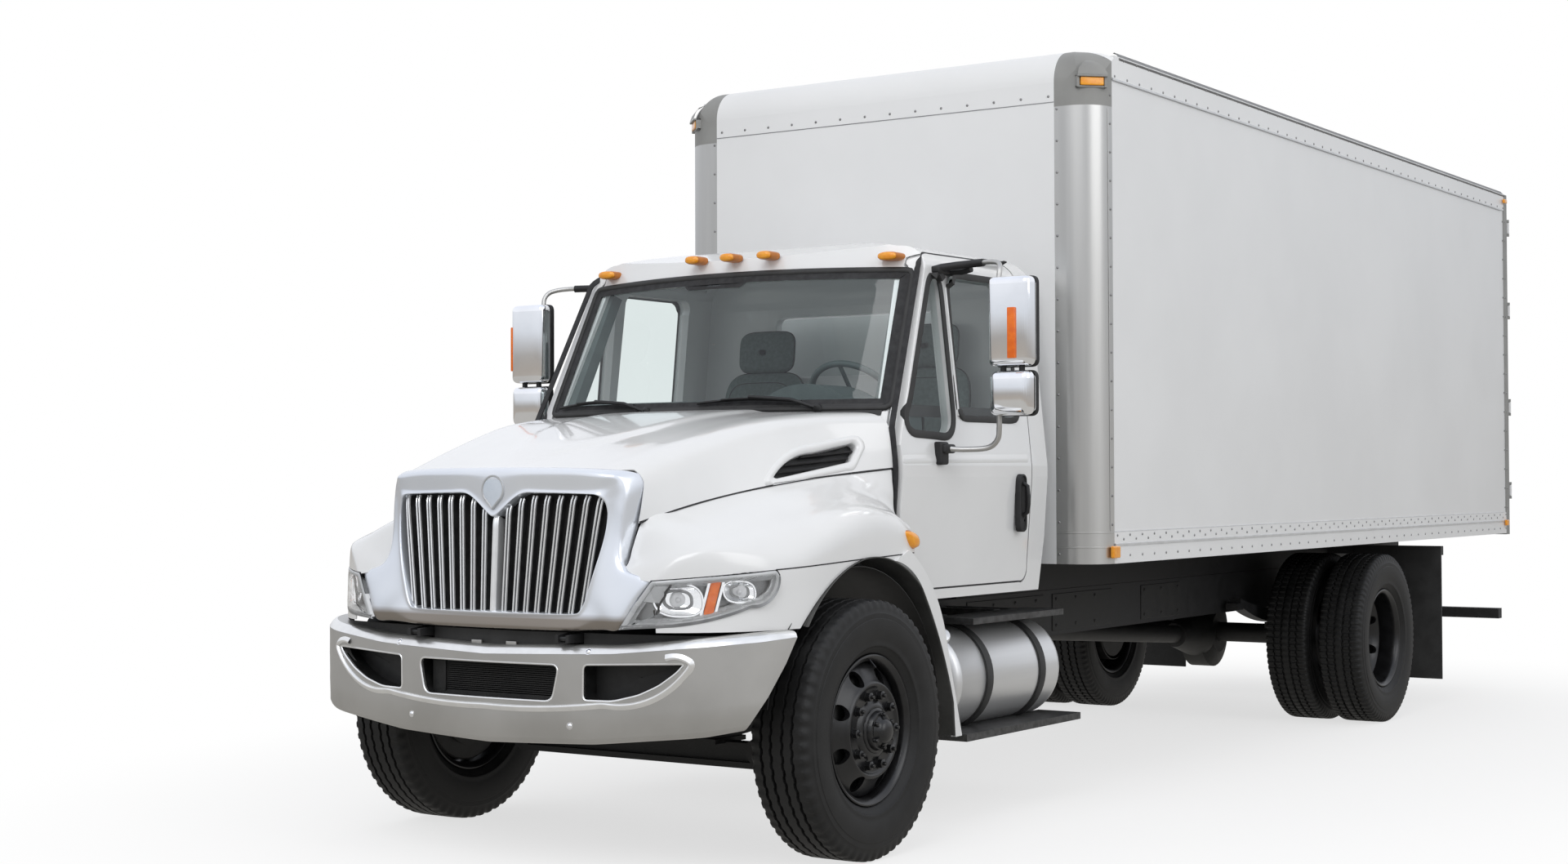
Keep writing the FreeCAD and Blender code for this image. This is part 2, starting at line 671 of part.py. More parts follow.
def fender_lamp(panel):
    lamp = prism("yz", 1085, 1133, (352, 1300), (415, 1294, 455, 1236), (400, 1224), (362, 1250, 352, 1300))
    return biggest(lamp.cut(panel))


SCOOP_RIM = ((-205, 1508), (-75, 1612, 70, 1656), (285, 1694), (320, 1688, 318, 1645), (262, 1580),
             (246, 1566, 216, 1562), (-182, 1500), (-200, 1500, -205, 1508))
SCOOP_MOUTH = ((-150, 1532), (-35, 1606, 84, 1632), (268, 1668), (292, 1664, 290, 1648), (240, 1594), (-140, 1526))
SLATS = 6


def hood_scoop():
    """A raised rim around a slatted air inlet in the hood's side."""
    skin = hood_form(-6)
    rim = skin.cut(hood_form(HOOD_WALL)).common(prism("yz", 600, 1100, *SCOOP_RIM))
    mouth = prism("yz", 600, 1100, *SCOOP_MOUTH)
    scoop = rim.cut(mouth)
    band = hood_form(6).cut(hood_form(HOOD_WALL)).common(mouth)
    for i in range(SLATS):
        z = 1500 + i * 26
        slat = prism("yz", 600, 1100, (-260, z), (430, z + 62), (430, z + 70), (-260, z + 8))
        scoop = scoop.fuse(band.common(slat))
    return biggest(scoop.removeSplitter())


def biggest(shape):
    return max(shape.Solids, key=lambda solid: solid.Volume)


def hood():
    shell = hood_form(0).cut(hood_form(HOOD_WALL))
    rear = slanted(1200, 1900, 0, *both_halves((0, 900), (1100, 900), (1100, HOOD_REAR + 202),
                                               (550, HOOD_REAR + 50, 0, HOOD_REAR)))
    inlet = prism("yz", 600, 1100, *SCOOP_RIM)
    return biggest(shell.cut(rear).cut(ahead_of_hood()).cut(inlet).cut(mirrored(inlet)))


# Cab.
def cab_width(inset):
    """The cab's front view: leaning sides, a belt line and a crowned roof."""
    t = inset
    return prism("xz", 0, 2000, *both_halves(
        (0, 2640 - t), (400, 2612 - t, 790 - t * 0.3, 2552 - t),
        (893 - t * 0.8, 2516 - t * 0.8, ROOF_SIDE_X - t, ROOF_SIDE_Z - 8 - t * 0.5),
        (BELT_X - t, BELT_Z + 10), (BELT_X - t, BELT_Z - 40), (985 - t, CAB_BOTTOM), (0, CAB_BOTTOM)))


def cab_length(inset):
    """The cab's side view: a bowed roof and an upright back."""
    t = inset
    return prism("yz", -1200, 1200, (200, CAB_BOTTOM + t), (200, 2350 - t), (640, 2500 - t, 900, 2578 - t),
                 (1200, 2612 - t, 1640, 2570 - t), (1765 - t, 2545 - t, 1797 - t, 2430 - t),
                 (CAB_BACK - t, 2000), (CAB_BACK - t, 1250), (CAB_BACK - 30 - t, CAB_BOTTOM + t))


def swept_front(y, slope):
    """Everything behind a front that bows forward in the middle; y is its middle at CAB_BOTTOM."""
    bow = 1100 ** 2 / (2 * FRONT_SWEEP_R)
    return slanted(CAB_BOTTOM - 10, 2700, slope, (-1100, 3200), (-1100, y + bow), (0, y, 1100, y + bow),
                   (1100, 3200))


def cab_form(inset):
    screen_y = SCREEN_BASE_Y - SCREEN_SLOPE * (SCREEN_BASE_Z - CAB_BOTTOM + 10) + inset * 1.1
    form = cab_length(inset).common(cab_width(inset))
    form = form.common(swept_front(CAB_FRONT + inset, 0)).common(swept_front(screen_y, SCREEN_SLOPE))
    return form.cut(block((-1200, 1200), (0, CAB_LOWER_FRONT + inset), (900, CAB_LEDGE + inset)))


DOOR_OUTLINE = ((457, 1205), (457, 1745), (790, 2425), (850, 2500, 930, 2515), (1545, 2525),
                (1630, 2505, 1648, 2420), (1652, 1750), (1645, 1120), (1630, 1065, 1575, 1050), (665, 1050))
# The opening is the door's outline scaled up, which brings its slanting edges nearer than this.
DOOR_GAP = MOVING_GAP + 2
DOOR_INSIDE = 845
VENT_WINDOW = ((620, 1720), (560, 1740, 590, 1830), (850, 2380), (905, 2420, 950, 2380), (955, 1800),
               (930, 1730, 840, 1712))
MAIN_WINDOW = ((1010, 1830), (1020, 2380), (1045, 2420, 1080, 2425), (1480, 2425), (1535, 2415, 1545, 2360),
               (1552, 1850), (1540, 1800, 1490, 1795), (1050, 1795), (1015, 1800, 1010, 1830))


def grown(points, gap):
    """The outline moved out by gap, by scaling about its middle."""
    us = [p[-2] for p in points]
    vs = [p[-1] for p in points]
    middle = ((min(us) + max(us)) / 2, (min(vs) + max(vs)) / 2)
    factor = (1 + 2 * gap / (max(us) - min(us)), 1 + 2 * gap / (max(vs) - min(vs)))
    result = []
    for p in points:
        result.append(tuple(middle[k % 2] + (c - middle[k % 2]) * factor[k % 2] for k, c in enumerate(p)))
    return result


def door(cab):
    panel = cab.common(prism("yz", DOOR_INSIDE, 1200, *DOOR_OUTLINE)).cut(cab_width(DOOR_THICK))
    for window in (VENT_WINDOW, MAIN_WINDOW):
        panel = panel.cut(prism("yz", 700, 1200, *window))
    handle = block((BELT_X - 20, BELT_X + 12), (1515, 1560), (1290, 1530))
    return biggest(panel.fuse(handle).removeSplitter())


def door_glass():
    glass = cab_form(22).cut(cab_width(28))
    panes = [glass.common(prism("yz", 700, 1200, *window)) for window in (VENT_WINDOW, MAIN_WINDOW)]
    return Part.makeCompound([biggest(pane) for pane in panes])


def mirror():
    head = block((1240, 1450), (820, 920), (2000, 2390))
    head = head.makeFillet(35, head.Edges)
    spot = block((1245, 1445), (820, 915), (1790, 1985))
    spot = spot.makeFillet(32, spot.Edges)
    arm = tube_path(11, [(930, 940, 2440), (1225, 970, 2460), (1275, 900, 2430), (1275, 870, 2370)])
    stay = tube_path(11, [(1275, 870, 1810), (1275, 900, 1730), (1200, 900, 1650), (1035, 810, 1640)])
    link = rod(14, (1300, 870, 1960), (1300, 870, 2040))
    bracket = block((1010, 1050), (770, 850), (1580, 1680))
    top = block((890, 960), (900, 1050), (2420, 2460))
    return joined([head, spot, arm, stay, link, bracket, top])


SCREEN_EDGE = 68
SCREEN_THICK = 8
PILLAR = 55


def save_cab():
    cab = cab_form(0)
    shell = cab.cut(cab_form(CAB_WALL))
    aperture = prism("yz", DOOR_INSIDE - DOOR_GAP, 1200, *grown(DOOR_OUTLINE, DOOR_GAP))
    aperture = aperture.cut(cab_width(DOOR_THICK + DOOR_GAP + 3))
    shell = shell.cut(aperture).cut(mirrored(aperture))
    screen_zone = prism("xz", 0, 1000, (-1100, SCREEN_BASE_Z), (-1100, SCREEN_TOP_Z - 20),
                        (0, SCREEN_TOP_Z + 12, 1100, SCREEN_TOP_Z - 20), (1100, SCREEN_BASE_Z))
    screen = cab.cut(cab_form(SCREEN_THICK)).common(screen_zone).common(cab_width(SCREEN_EDGE))
    screen = biggest(screen)
    screen_hole = screen_zone.common(cab_width(SCREEN_EDGE + PILLAR)).common(everywhere(z=(1860, SCREEN_TOP_Z - 30)))
    back_zone = prism("xz", 1600, 2000, *both_halves((0, 2030), (440, 2030), (468, 2042, 480, 2070), (480, 2295),
                                                     (468, 2323, 440, 2335), (0, 2335)))
    back_pane = biggest(cab_form(20).cut(cab_form(28)).common(back_zone))
    save("cab_glass", Part.makeCompound([screen, back_pane]))
    shell = shell.cut(screen).cut(screen_hole).cut(back_zone)
    floor = shell.common(everywhere(z=(900, CAB_BOTTOM + CAB_WALL)))
    fire_wall = shell.common(everywhere(y=(0, 640), z=(CAB_BOTTOM + CAB_WALL, 1860)))
    fire_wall = fire_wall.common(cab_width(DOOR_THICK + DOOR_GAP + 3))
    front = biggest(floor.fuse(fire_wall).removeSplitter())
    save("cab_floor", front)
    rest = shell.cut(front)
    roof = biggest(rest.common(everywhere(z=(SCREEN_TOP_Z - 30, 2800))))
    save("cab_roof", roof)
    rest = rest.cut(roof)
    back = biggest(rest.common(everywhere(y=(CAB_BACK - CAB_WALL - 36, 2000))))
    save("cab_back", back)
    rest = rest.cut(back)
    save("cab_side_left", Part.makeCompound(rest.common(everywhere(x=(0, 1300))).Solids))
    save("cab_side_right", Part.makeCompound(rest.common(everywhere(x=(-1300, 0))).Solids))
    panel = door(cab)
    save_pair("door", panel)
    glass = door_glass()
    save_pair("door_glass", glass)
    save_pair("mirror", biggest(mirror().cut(panel).cut(glass)))


STEER_X = 445


def dash():
    shelf = prism("yz", -900, 900, (530, 1300), (530, 1850), (720, 1872, 850, 1800), (880, 1500), (760, 1300))
    gauges = prism("xz", 600, 870, (STEER_X - 260, 1700), (STEER_X - 250, 1850), (STEER_X, 1942, STEER_X + 250, 1850),
                   (STEER_X + 260, 1700))
    return shelf.fuse(gauges).removeSplitter().common(cab_form(CAB_WALL + 5))


def steering_wheel():
    ring = Part.makeTorus(220, 15)
    spokes = joined([rod(10, (0, 0, 0), (220 * math.cos(a), 220 * math.sin(a), 0))
                     for a in (math.radians(d) for d in (30, 150, 270))])
    hub = rod(45, (0, 0, -20), (0, 0, 25))
    column = rod(24, (0, 0, -20), (0, 0, -330))
    wheel = joined([ring, spokes, hub, column])
    wheel.rotate(Vector(0, 0, 0), Vector(1, 0, 0), -50)
    return moved(wheel, x=STEER_X, y=1035, z=1875)


def seat(x):
    cushion = block((x - 250, x + 250), (1130, 1640), (1350, 1490))
    back = prism("yz", x - 240, x + 240, (1530, 1490), (1630, 1490), (1700, 2050), (1610, 2060))
    head = prism("yz", x - 165, x + 165, (1610, 2060), (1690, 2050), (1700, 2235, 1660, 2265), (1625, 2250, 1610, 2210))
    base = block((x - 180, x + 180), (1200, 1600), (1050, 1350))
    return joined([cushion, back, head, base])


# Van body.
def box_plan(inset, bottom):
    """The van body's plan, rounded up its front corners."""
    half, front, r = BOX_HALF - inset, BOX_FRONT + inset, BOX_RADIUS - inset
    c = r * (1 - math.sqrt(0.5))
    return prism("xy", bottom, 3700, *both_halves((0, BOX_REAR), (half, BOX_REAR), (half, front + r),
                                                  (half - c, front + c, half - r, front), (0, front)))


def box_form(inset):
    """The van body's outside, or its inside at inset: its front header stands above the roof, with round corners."""
    front, top, crown, r = BOX_FRONT + inset, BOX_TOP - inset, HEADER_TOP - inset, BOX_RADIUS - inset
    c = r * (1 - math.sqrt(0.5))
    rear = HEADER_REAR - inset
    side = prism("yz", -1300, 1300, (front, BOX_BOTTOM), (front, crown - r),
                 (front + c, crown - c, front + r, crown), (rear, crown), (rear, top), (BOX_REAR, top),
                 (BOX_REAR, BOX_BOTTOM))
    corner = top_corner(CORNER_R - inset)
    return box_plan(inset, BOX_BOTTOM).common(side).cut(corner).cut(mirrored(corner))


def top_corner(radius):
    """What rounds the header's left corner down to the post, across the corner's diagonal."""
    low = HEADER_TOP - CORNER_R
    cutter = block((CORNER_REACH, 1300), (0, 1400), (low, 3700))
    cutter = cutter.cut(rod(radius, (CORNER_REACH, -100, low), (CORNER_REACH, 1500, low)))
    cutter.rotate(Vector(0, 0, 0), Vector(0, 0, 1), -45)
    return moved(cutter, y=BOX_FRONT).common(block((0, 1300), (1900, HEADER_REAR), (low, 3700)))


def save_box():
    shell = box_form(0).cut(box_form(BOX_WALL))
    post_x = BOX_HALF - POST_FRONT_WIDTH
    post_y = BOX_FRONT + POST_SIDE_WIDTH
    corner = block((post_x, 1300), (1900, post_y), (1000, 4000))
    corners = corner.fuse(mirrored(corner))
    posts = shell.common(corners)
    caps = posts.common(block((-1300, 1300), (1900, 2300), (CAP_BOTTOM, 4000)))
    posts = posts.cut(caps)
    rest = shell.cut(corners)
    tail = rest.common(block((-1300, 1300), (BOX_REAR - REAR_FRAME_DEPTH, 9000), (1000, 4000)))
    rest = rest.cut(tail)
    roof = rest.common(block((-1300, 1300), (1900, 9000), (BOX_TOP - BOX_WALL, 4000)))
    front_rail = rest.common(block((-1300, 1300), (1900, post_y), (FRONT_RAIL_BOTTOM, 4000)))
    roof = roof.fuse(front_rail).removeSplitter()
    rest = rest.cut(roof)
    wall = rest.common(block((-post_x, post_x), (1900, 2100), (1000, 4000)))
    thin = rest.cut(wall)
    groove = block((BOX_HALF - RAIL_PROUD, 1300), (0, 9000), (BASE_RAIL_TOP, TOP_RAIL_BOTTOM))
    thin = thin.cut(groove).cut(mirrored(groove))
    save("box_corner_posts", posts)
    save("box_corner_caps", caps)
    save("box_roof", biggest(roof))
    save("box_front_wall", biggest(wall))
    save("box_side_left", biggest(thin.common(block((0, 1300), (0, 9000), (0, 4000)))))
    save("box_side_right", biggest(thin.common(block((-1300, 0), (0, 9000), (0, 4000)))))


def box_floor():
    inner = BOX_HALF - BOX_WALL
    front = BOX_FRONT + BOX_WALL
    deck = block((-inner, inner), (front, BOX_REAR - REAR_FRAME_DEPTH), (DECK_TOP - DECK_THICK, DECK_TOP))
    parts = [deck]
    bearer_top = DECK_TOP - DECK_THICK
    for i in range(16):
        y = 2050 + i * 406
        parts.append(block((-inner, inner), (y, y + 60), (BOX_BOTTOM, bearer_top)))
    for x in (-RAIL_X, RAIL_X - RAIL_FLANGE):
        parts.append(block((x, x + RAIL_FLANGE), (front, BOX_REAR - REAR_FRAME_DEPTH), (RAIL_TOP, bearer_top)))
    return joined(parts).common(box_plan(BOX_WALL, RAIL_TOP))


HINGE_X = 1212
HINGE_Y = 8700
HINGE_PIN_R = 6
HINGE_R = 11
HINGE_Z = (1420, 2020, 2720, 3320)


def rear_frame():
    """The sill and the header across the doorway."""
    depth = (BOX_REAR - REAR_FRAME_DEPTH, BOX_REAR)
    sill = block((-BOX_HALF, BOX_HALF), depth, (BOX_BOTTOM - 8, BASE_RAIL_TOP))
    header = block((-BOX_HALF, BOX_HALF), depth, (HEADER_BOTTOM, BOX_TOP))
    return Part.makeCompound([sill, header])


def rear_post():
    """The left post of the doorway, with the door's hinge pins."""
    parts = [block((BOX_HALF - REAR_POST, BOX_HALF), (BOX_REAR - REAR_FRAME_DEPTH, BOX_REAR),
                   (BASE_RAIL_TOP, HEADER_BOTTOM))]
    for z in HINGE_Z:
        parts.append(rod(HINGE_PIN_R, (HINGE_X, HINGE_Y, z - 58), (HINGE_X, HINGE_Y, z + 58)))
        for low in (z - 60, z + 40):
            parts.append(rod(HINGE_R, (HINGE_X, HINGE_Y, low), (HINGE_X, HINGE_Y, low + 20)))
            parts.append(block((HINGE_X - 11, HINGE_X + 3), (BOX_REAR - 5, HINGE_Y), (low, low + 20)))
    return joined(parts)


def box_door():
    outer = BOX_HALF - REAR_POST - MOVING_GAP
    panel = block((MOVING_GAP / 2, outer), (BOX_REAR - 32, BOX_REAR), (BASE_RAIL_TOP + MOVING_GAP,
                                                                     HEADER_BOTTOM - MOVING_GAP))
    parts = [panel]
    for z in HINGE_Z:
        eye = rod(HINGE_R, (HINGE_X, HINGE_Y, z - 38), (HINGE_X, HINGE_Y, z + 38))
        strap = prism("xy", z - 30, z + 30, (outer - 160, BOX_REAR - 2), (outer - 160, BOX_REAR + 6),
                      (outer - 20, BOX_REAR + 6), (HINGE_X - 8, HINGE_Y + 8), (HINGE_X + 2, HINGE_Y - 6),
                      (outer - 10, BOX_REAR - 2))
        parts.append(eye.fuse(strap))
    rod_x = 160
    parts.append(rod(12, (rod_x, BOX_REAR + 16, BASE_RAIL_TOP + 20), (rod_x, BOX_REAR + 16, HEADER_BOTTOM - 20)))
    for z in (1320, 1900, 2500, 3100, 3400):
        parts.append(block((rod_x - 22, rod_x + 22), (BOX_REAR - 2, BOX_REAR + 28), (z, z + 40)))
    parts.append(block((rod_x - 10, rod_x + 330), (BOX_REAR + 10, BOX_REAR + 24), (1480, 1520)))
    parts.append(block((rod_x + 300, rod_x + 340), (BOX_REAR - 2, BOX_REAR + 24), (1470, 1530)))
    door_leaf = joined(parts)
    for z in HINGE_Z:
        bore = rod(HINGE_PIN_R + PIN_CLEARANCE, (HINGE_X, HINGE_Y, z - 60), (HINGE_X, HINGE_Y, z + 60))
        door_leaf = door_leaf.cut(bore)
    return door_leaf


def rear_guard():
    bar = block((-1160, 1160), (8560, 8640), (500, 572))
    hangers = [block((s * 390 - 40, s * 390 + 40), (8560, 8600), (560, RAIL_BOTTOM)) for s in (1, -1)]
    feet = [block((s * 390 - 40, s * 390 + 40), (8400, 8600), (RAIL_BOTTOM - 20, RAIL_BOTTOM)) for s in (1, -1)]
    return joined([bar] + hangers + feet)


FLAP_Y = 7100


def mud_flap():
    sheet = block((620, 1210), (FLAP_Y, FLAP_Y + 12), (180, 1060))
    bar = block((RAIL_X, 1210), (FLAP_Y + 12, FLAP_Y + 50), (1000, 1060))
    drop = block((RAIL_X, RAIL_X + 40), (FLAP_Y + 12, FLAP_Y + 50), (850, 1060))
    return joined([sheet, bar, drop])


LAMP_TABLE = (  # x, y, z of the lamp's middle, half sizes along x, y and z
    (1219, 2070, 1190, 12, 30, 28),
    (1219, 8540, 1190, 12, 30, 22),
    (1219, 8560, 3500, 12, 32, 16),
)
ROOF_LAMPS = ((0, 660, 2530), (200, 665, 2530), (-200, 665, 2530), (784, 770, 2500), (-784, 770, 2500))
TAIL_LAMP_X = (900, 1080)
TAIL_LAMP_Z = 1150


def marker_lamps(cab):
    lamps = []
    for x, y, z, dx, dy, dz in LAMP_TABLE:
        lamp = block((x, x + dx), (y - dy, y + dy), (z - dz, z + dz))
        lamps += [lamp, mirrored(lamp)]
    for x in TAIL_LAMP_X:
        tail = block((x - 50, x + 50), (BOX_REAR, BOX_REAR + 20), (TAIL_LAMP_Z, TAIL_LAMP_Z + 70))
        lamps += [tail, mirrored(tail)]
    for x, y, z in ROOF_LAMPS:
        oval = prism("xz", y - 22, y + 60, (-42, -17), (42, -17), (60, 0, 42, 17), (-42, 17), (-60, 0, -42, -17))
        lamps.append(biggest(moved(oval, x=x, z=z).cut(cab)))
    return Part.makeCompound(lamps)


def main():
    os.makedirs("parts", exist_ok=True)
    save_wheels()
    save_running_gear()
    save("frame_rails", both_sides(frame_rail()))
    save("crossmembers", Part.makeCompound([crossmembers()] + hood_brackets()))
    tank, straps = fuel_tank()
    save("fuel_tank", tank)
    case = battery_box()
    save("battery_box", case)
    treads, posts = side_steps()
    steps = joined(treads[:2] + straps.Solids)
    rest = joined(treads[2:] + posts)
    save("side_steps", Part.makeCompound(steps.cut(tank).Solids + rest.cut(case).Solids))
    engine = block((-330, 330), (-560, 400), (760, 1480))
    gearbox = block((-170, 170), (400, GEARBOX_REAR), (580, 860))
    save("engine_block", engine.fuse(gearbox))
    save("radiator", Part.makeCompound(radiator()))
    save("front_bumper", front_bumper())
    save("valance", valance())
    zone = grille_zone()
    save("grille", grille(zone))
    save("hood", hood())
    panel = fender(zone, hood_form(0))
    save_pair("fender", panel)
    save("fender_lamps", both_sides(fender_lamp(panel)))
    save("hood_scoops", both_sides(hood_scoop()))
    save("headlamps", both_sides(headlamp()))
    save_cab()
    save("dash", dash())
    save("steering_wheel", steering_wheel().cut(dash()))
    save("seats", both_sides(seat(470)))
    save_box()
    save("box_floor", box_floor())
    save("rear_frame", rear_frame())
    save("rear_posts", both_sides(rear_post()))
    save_pair("box_door", box_door())
    save("rear_guard", rear_guard())
    save("mud_flaps", both_sides(mud_flap()))
    save("marker_lamps", marker_lamps(cab_form(0)))


main()
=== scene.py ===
"""Looks of the box truck: finishes, fine forms, camera, floor and light. Metres, in the row frame."""

import json
import math

import bmesh
import bpy
from mathutils import Matrix, Vector
from mathutils.bvhtree import BVHTree

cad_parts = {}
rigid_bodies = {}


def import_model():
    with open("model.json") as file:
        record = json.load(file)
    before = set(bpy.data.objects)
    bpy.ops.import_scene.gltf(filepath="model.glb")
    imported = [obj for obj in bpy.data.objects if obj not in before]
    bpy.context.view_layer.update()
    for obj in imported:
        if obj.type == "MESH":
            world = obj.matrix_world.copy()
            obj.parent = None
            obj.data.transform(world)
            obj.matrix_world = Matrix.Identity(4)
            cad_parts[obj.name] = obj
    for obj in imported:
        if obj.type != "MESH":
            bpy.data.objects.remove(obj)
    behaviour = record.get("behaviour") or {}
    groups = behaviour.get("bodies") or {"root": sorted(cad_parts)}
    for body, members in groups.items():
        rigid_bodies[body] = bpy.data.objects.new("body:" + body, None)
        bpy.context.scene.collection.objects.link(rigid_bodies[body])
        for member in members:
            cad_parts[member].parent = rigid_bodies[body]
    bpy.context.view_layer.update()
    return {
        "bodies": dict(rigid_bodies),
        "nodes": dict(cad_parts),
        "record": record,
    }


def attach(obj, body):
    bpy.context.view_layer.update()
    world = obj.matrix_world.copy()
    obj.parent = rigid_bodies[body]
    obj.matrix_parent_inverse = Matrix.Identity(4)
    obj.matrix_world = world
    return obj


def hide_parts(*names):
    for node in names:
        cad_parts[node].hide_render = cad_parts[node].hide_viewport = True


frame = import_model()
NODES = frame["nodes"]

# The camera: where it stands, where it points and its lens.
CAMERA_PLACE = (5.8375, -11.3874, 1.5281)
CAMERA_YAW = 34.033
CAMERA_PITCH = 1.185
CAMERA_ROLL = -0.192
CAMERA_LENS = 50.88
SENSOR_WIDTH = 36.0


# Materials.
def new_material(name):
    material = bpy.data.materials.new(name)
    material.use_nodes = True
    tree = material.node_tree
    return material, tree, tree.nodes["Principled BSDF"]


def set_inputs(node, **values):
    """Sets a node's inputs by name; an underscore stands for a space."""
    for key, value in values.items():
        node.inputs[key.replace("_", " ")].default_value = value


def add_node(tree, kind, **values):
    node = tree.nodes.new("ShaderNode" + kind)
    set_inputs(node, **values)
    return node


def mixed_shaders(tree, share, first, second):
    """The output of two shaders mixed; a share of 1 gives the second."""
    mix = add_node(tree, "MixShader")
    for socket, source in zip(mix.inputs, (share, first, second)):
        tree.links.new(source, socket)
    return mix.outputs[0]


def noise(tree, scale, detail=4.0, stretch=(1, 1, 1)):
    """A noise over the piece's own space, in metres."""
    place = add_node(tree, "TexCoord")
    mapping = add_node(tree, "Mapping", Scale=stretch)
    texture = add_node(tree, "TexNoise", Scale=scale, Detail=detail, Roughness=0.5)
    tree.links.new(place.outputs["Object"], mapping.inputs["Vector"])
    tree.links.new(mapping.outputs["Vector"], texture.inputs["Vector"])
    return texture.outputs["Fac"]


def ramp(tree, fac, low, high):
    node = add_node(tree, "ValToRGB")
    for stop, place, colour in zip(node.color_ramp.elements, (0.35, 0.65), (low, high)):
        stop.position = place
        stop.color = (*colour, 1)
    tree.links.new(fac, node.inputs["Fac"])
    return node.outputs["Color"]


def map_range(tree, fac, **ends):
    node = add_node(tree, "MapRange", **ends)
    tree.links.new(fac, node.inputs["Value"])
    return node.outputs["Result"]


def bump(tree, shader, fac, strength, distance):
    node = add_node(tree, "Bump", Strength=strength, Distance=distance)
    tree.links.new(fac, node.inputs["Height"])
    tree.links.new(node.outputs["Normal"], shader.inputs["Normal"])


def finish(name, low, high, rough, rough_high, metallic=0.0, scale=8.0, bump_scale=0.0, bump_depth=0.0,
           stretch=(1, 1, 1), **extra):
    """A finish whose colour and gloss drift between two values, with an optional fine bump."""
    material, tree, shader = new_material(name)
    fac = noise(tree, scale, stretch=stretch)
    tree.links.new(ramp(tree, fac, low, high), shader.inputs["Base Color"])
    tree.links.new(map_range(tree, fac, To_Min=rough, To_Max=rough_high), shader.inputs["Roughness"])
    set_inputs(shader, Metallic=metallic, **extra)
    if bump_depth:
        bump(tree, shader, noise(tree, bump_scale, 3.0, stretch=stretch), 0.6, bump_depth)
    return material


WHITE = finish("white_paint", (0.82, 0.825, 0.83), (0.85, 0.855, 0.86), 0.2, 0.28, scale=2.0,
               Coat_Weight=0.7, Coat_Roughness=0.06)
PANEL = finish("white_panel", (0.84, 0.845, 0.85), (0.88, 0.885, 0.89), 0.28, 0.38, scale=1.2,
               bump_scale=3.0, bump_depth=0.0008)
ALLOY = finish("polished_alloy", (0.50, 0.50, 0.49), (0.60, 0.60, 0.59), 0.28, 0.38, metallic=0.9,
               scale=7.0, stretch=(1, 1, 0.04))
CAST = finish("cast_alloy", (0.27, 0.27, 0.26), (0.31, 0.31, 0.30), 0.45, 0.55, scale=6.0,
              bump_scale=400.0, bump_depth=0.0002)
CHROME = finish("chrome", (0.86, 0.87, 0.89), (0.92, 0.93, 0.95), 0.04, 0.08, metallic=1.0, scale=6.0)
STEEL = finish("bumper_steel", (0.46, 0.455, 0.44), (0.52, 0.515, 0.50), 0.36, 0.46, metallic=0.85,
               scale=3.0)
FRAME_BLACK = finish("frame_black", (0.007, 0.007, 0.0075), (0.016, 0.016, 0.017), 0.5, 0.7, scale=14.0,
                     bump_scale=120.0, bump_depth=0.0006)
RIM_BLACK = finish("rim_black", (0.006, 0.006, 0.0065), (0.011, 0.011, 0.012), 0.24, 0.36, scale=20.0,
                   bump_scale=200.0, bump_depth=0.0002)
RUBBER = finish("tyre_rubber", (0.007, 0.007, 0.007), (0.013, 0.013, 0.013), 0.5, 0.66, scale=14.0,
                bump_scale=300.0, bump_depth=0.0004, Specular_IOR_Level=0.35)
SHEET_RUBBER = finish("sheet_rubber", (0.02, 0.02, 0.02), (0.035, 0.035, 0.035), 0.55, 0.7, scale=10.0,
                      bump_scale=90.0, bump_depth=0.0006)
TREAD_PLATE = finish("tread_plate", (0.05, 0.05, 0.05), (0.10, 0.10, 0.10), 0.4, 0.6, metallic=0.6,
                     scale=30.0, bump_scale=60.0, bump_depth=0.002)
TRIM = finish("grey_trim", (0.065, 0.092, 0.092), (0.09, 0.12, 0.12), 0.5, 0.65, scale=12.0,
              bump_scale=500.0, bump_depth=0.0003)
CLOTH = finish("seat_cloth", (0.11, 0.145, 0.14), (0.15, 0.19, 0.185), 0.8, 0.95, scale=60.0,
               bump_scale=900.0, bump_depth=0.0006)
IRON = finish("dark_iron", (0.008, 0.008, 0.008), (0.02, 0.02, 0.019), 0.5, 0.75, scale=16.0,
              bump_scale=150.0, bump_depth=0.001)
WOOD = finish("deck_wood", (0.30, 0.20, 0.11), (0.42, 0.30, 0.18), 0.5, 0.7, scale=9.0, stretch=(6, 0.4, 1),
              bump_scale=60.0, bump_depth=0.0008)
AMBER = finish("amber_lens", (0.94, 0.33, 0.01), (0.98, 0.42, 0.02), 0.12, 0.2, scale=60.0,
               bump_scale=260.0, bump_depth=0.001, Coat_Weight=0.5)


def glass(name, tint):
    material, tree, shader = new_material(name)
    set_inputs(shader, Base_Color=(*tint, 1), Transmission_Weight=1.0, IOR=1.45)
    rough = map_range(tree, noise(tree, 3.0), To_Min=0.02, To_Max=0.04)
    tree.links.new(rough, shader.inputs["Roughness"])
    return material


def thin_glass(name, tint):
    """A pane that is looked straight through, tinted at each face, with a faint reflection."""
    material, tree, shader = new_material(name)
    tree.nodes.remove(shader)
    clear = add_node(tree, "BsdfTransparent")
    darker = tuple(c * 0.985 for c in tint)
    tree.links.new(ramp(tree, noise(tree, 2.0), tint, darker), clear.inputs["Color"])
    shine = add_node(tree, "BsdfGlossy", Roughness=0.02)
    facing = add_node(tree, "LayerWeight")
    rise = add_node(tree, "Math")
    rise.operation = "POWER"
    rise.inputs[1].default_value = 5.0
    tree.links.new(facing.outputs["Facing"], rise.inputs[0])
    share = map_range(tree, rise.outputs[0], To_Min=0.05)
    surface = mixed_shaders(tree, share, clear.outputs[0], shine.outputs[0])
    tree.links.new(surface, tree.nodes["Material Output"].inputs["Surface"])
    return material


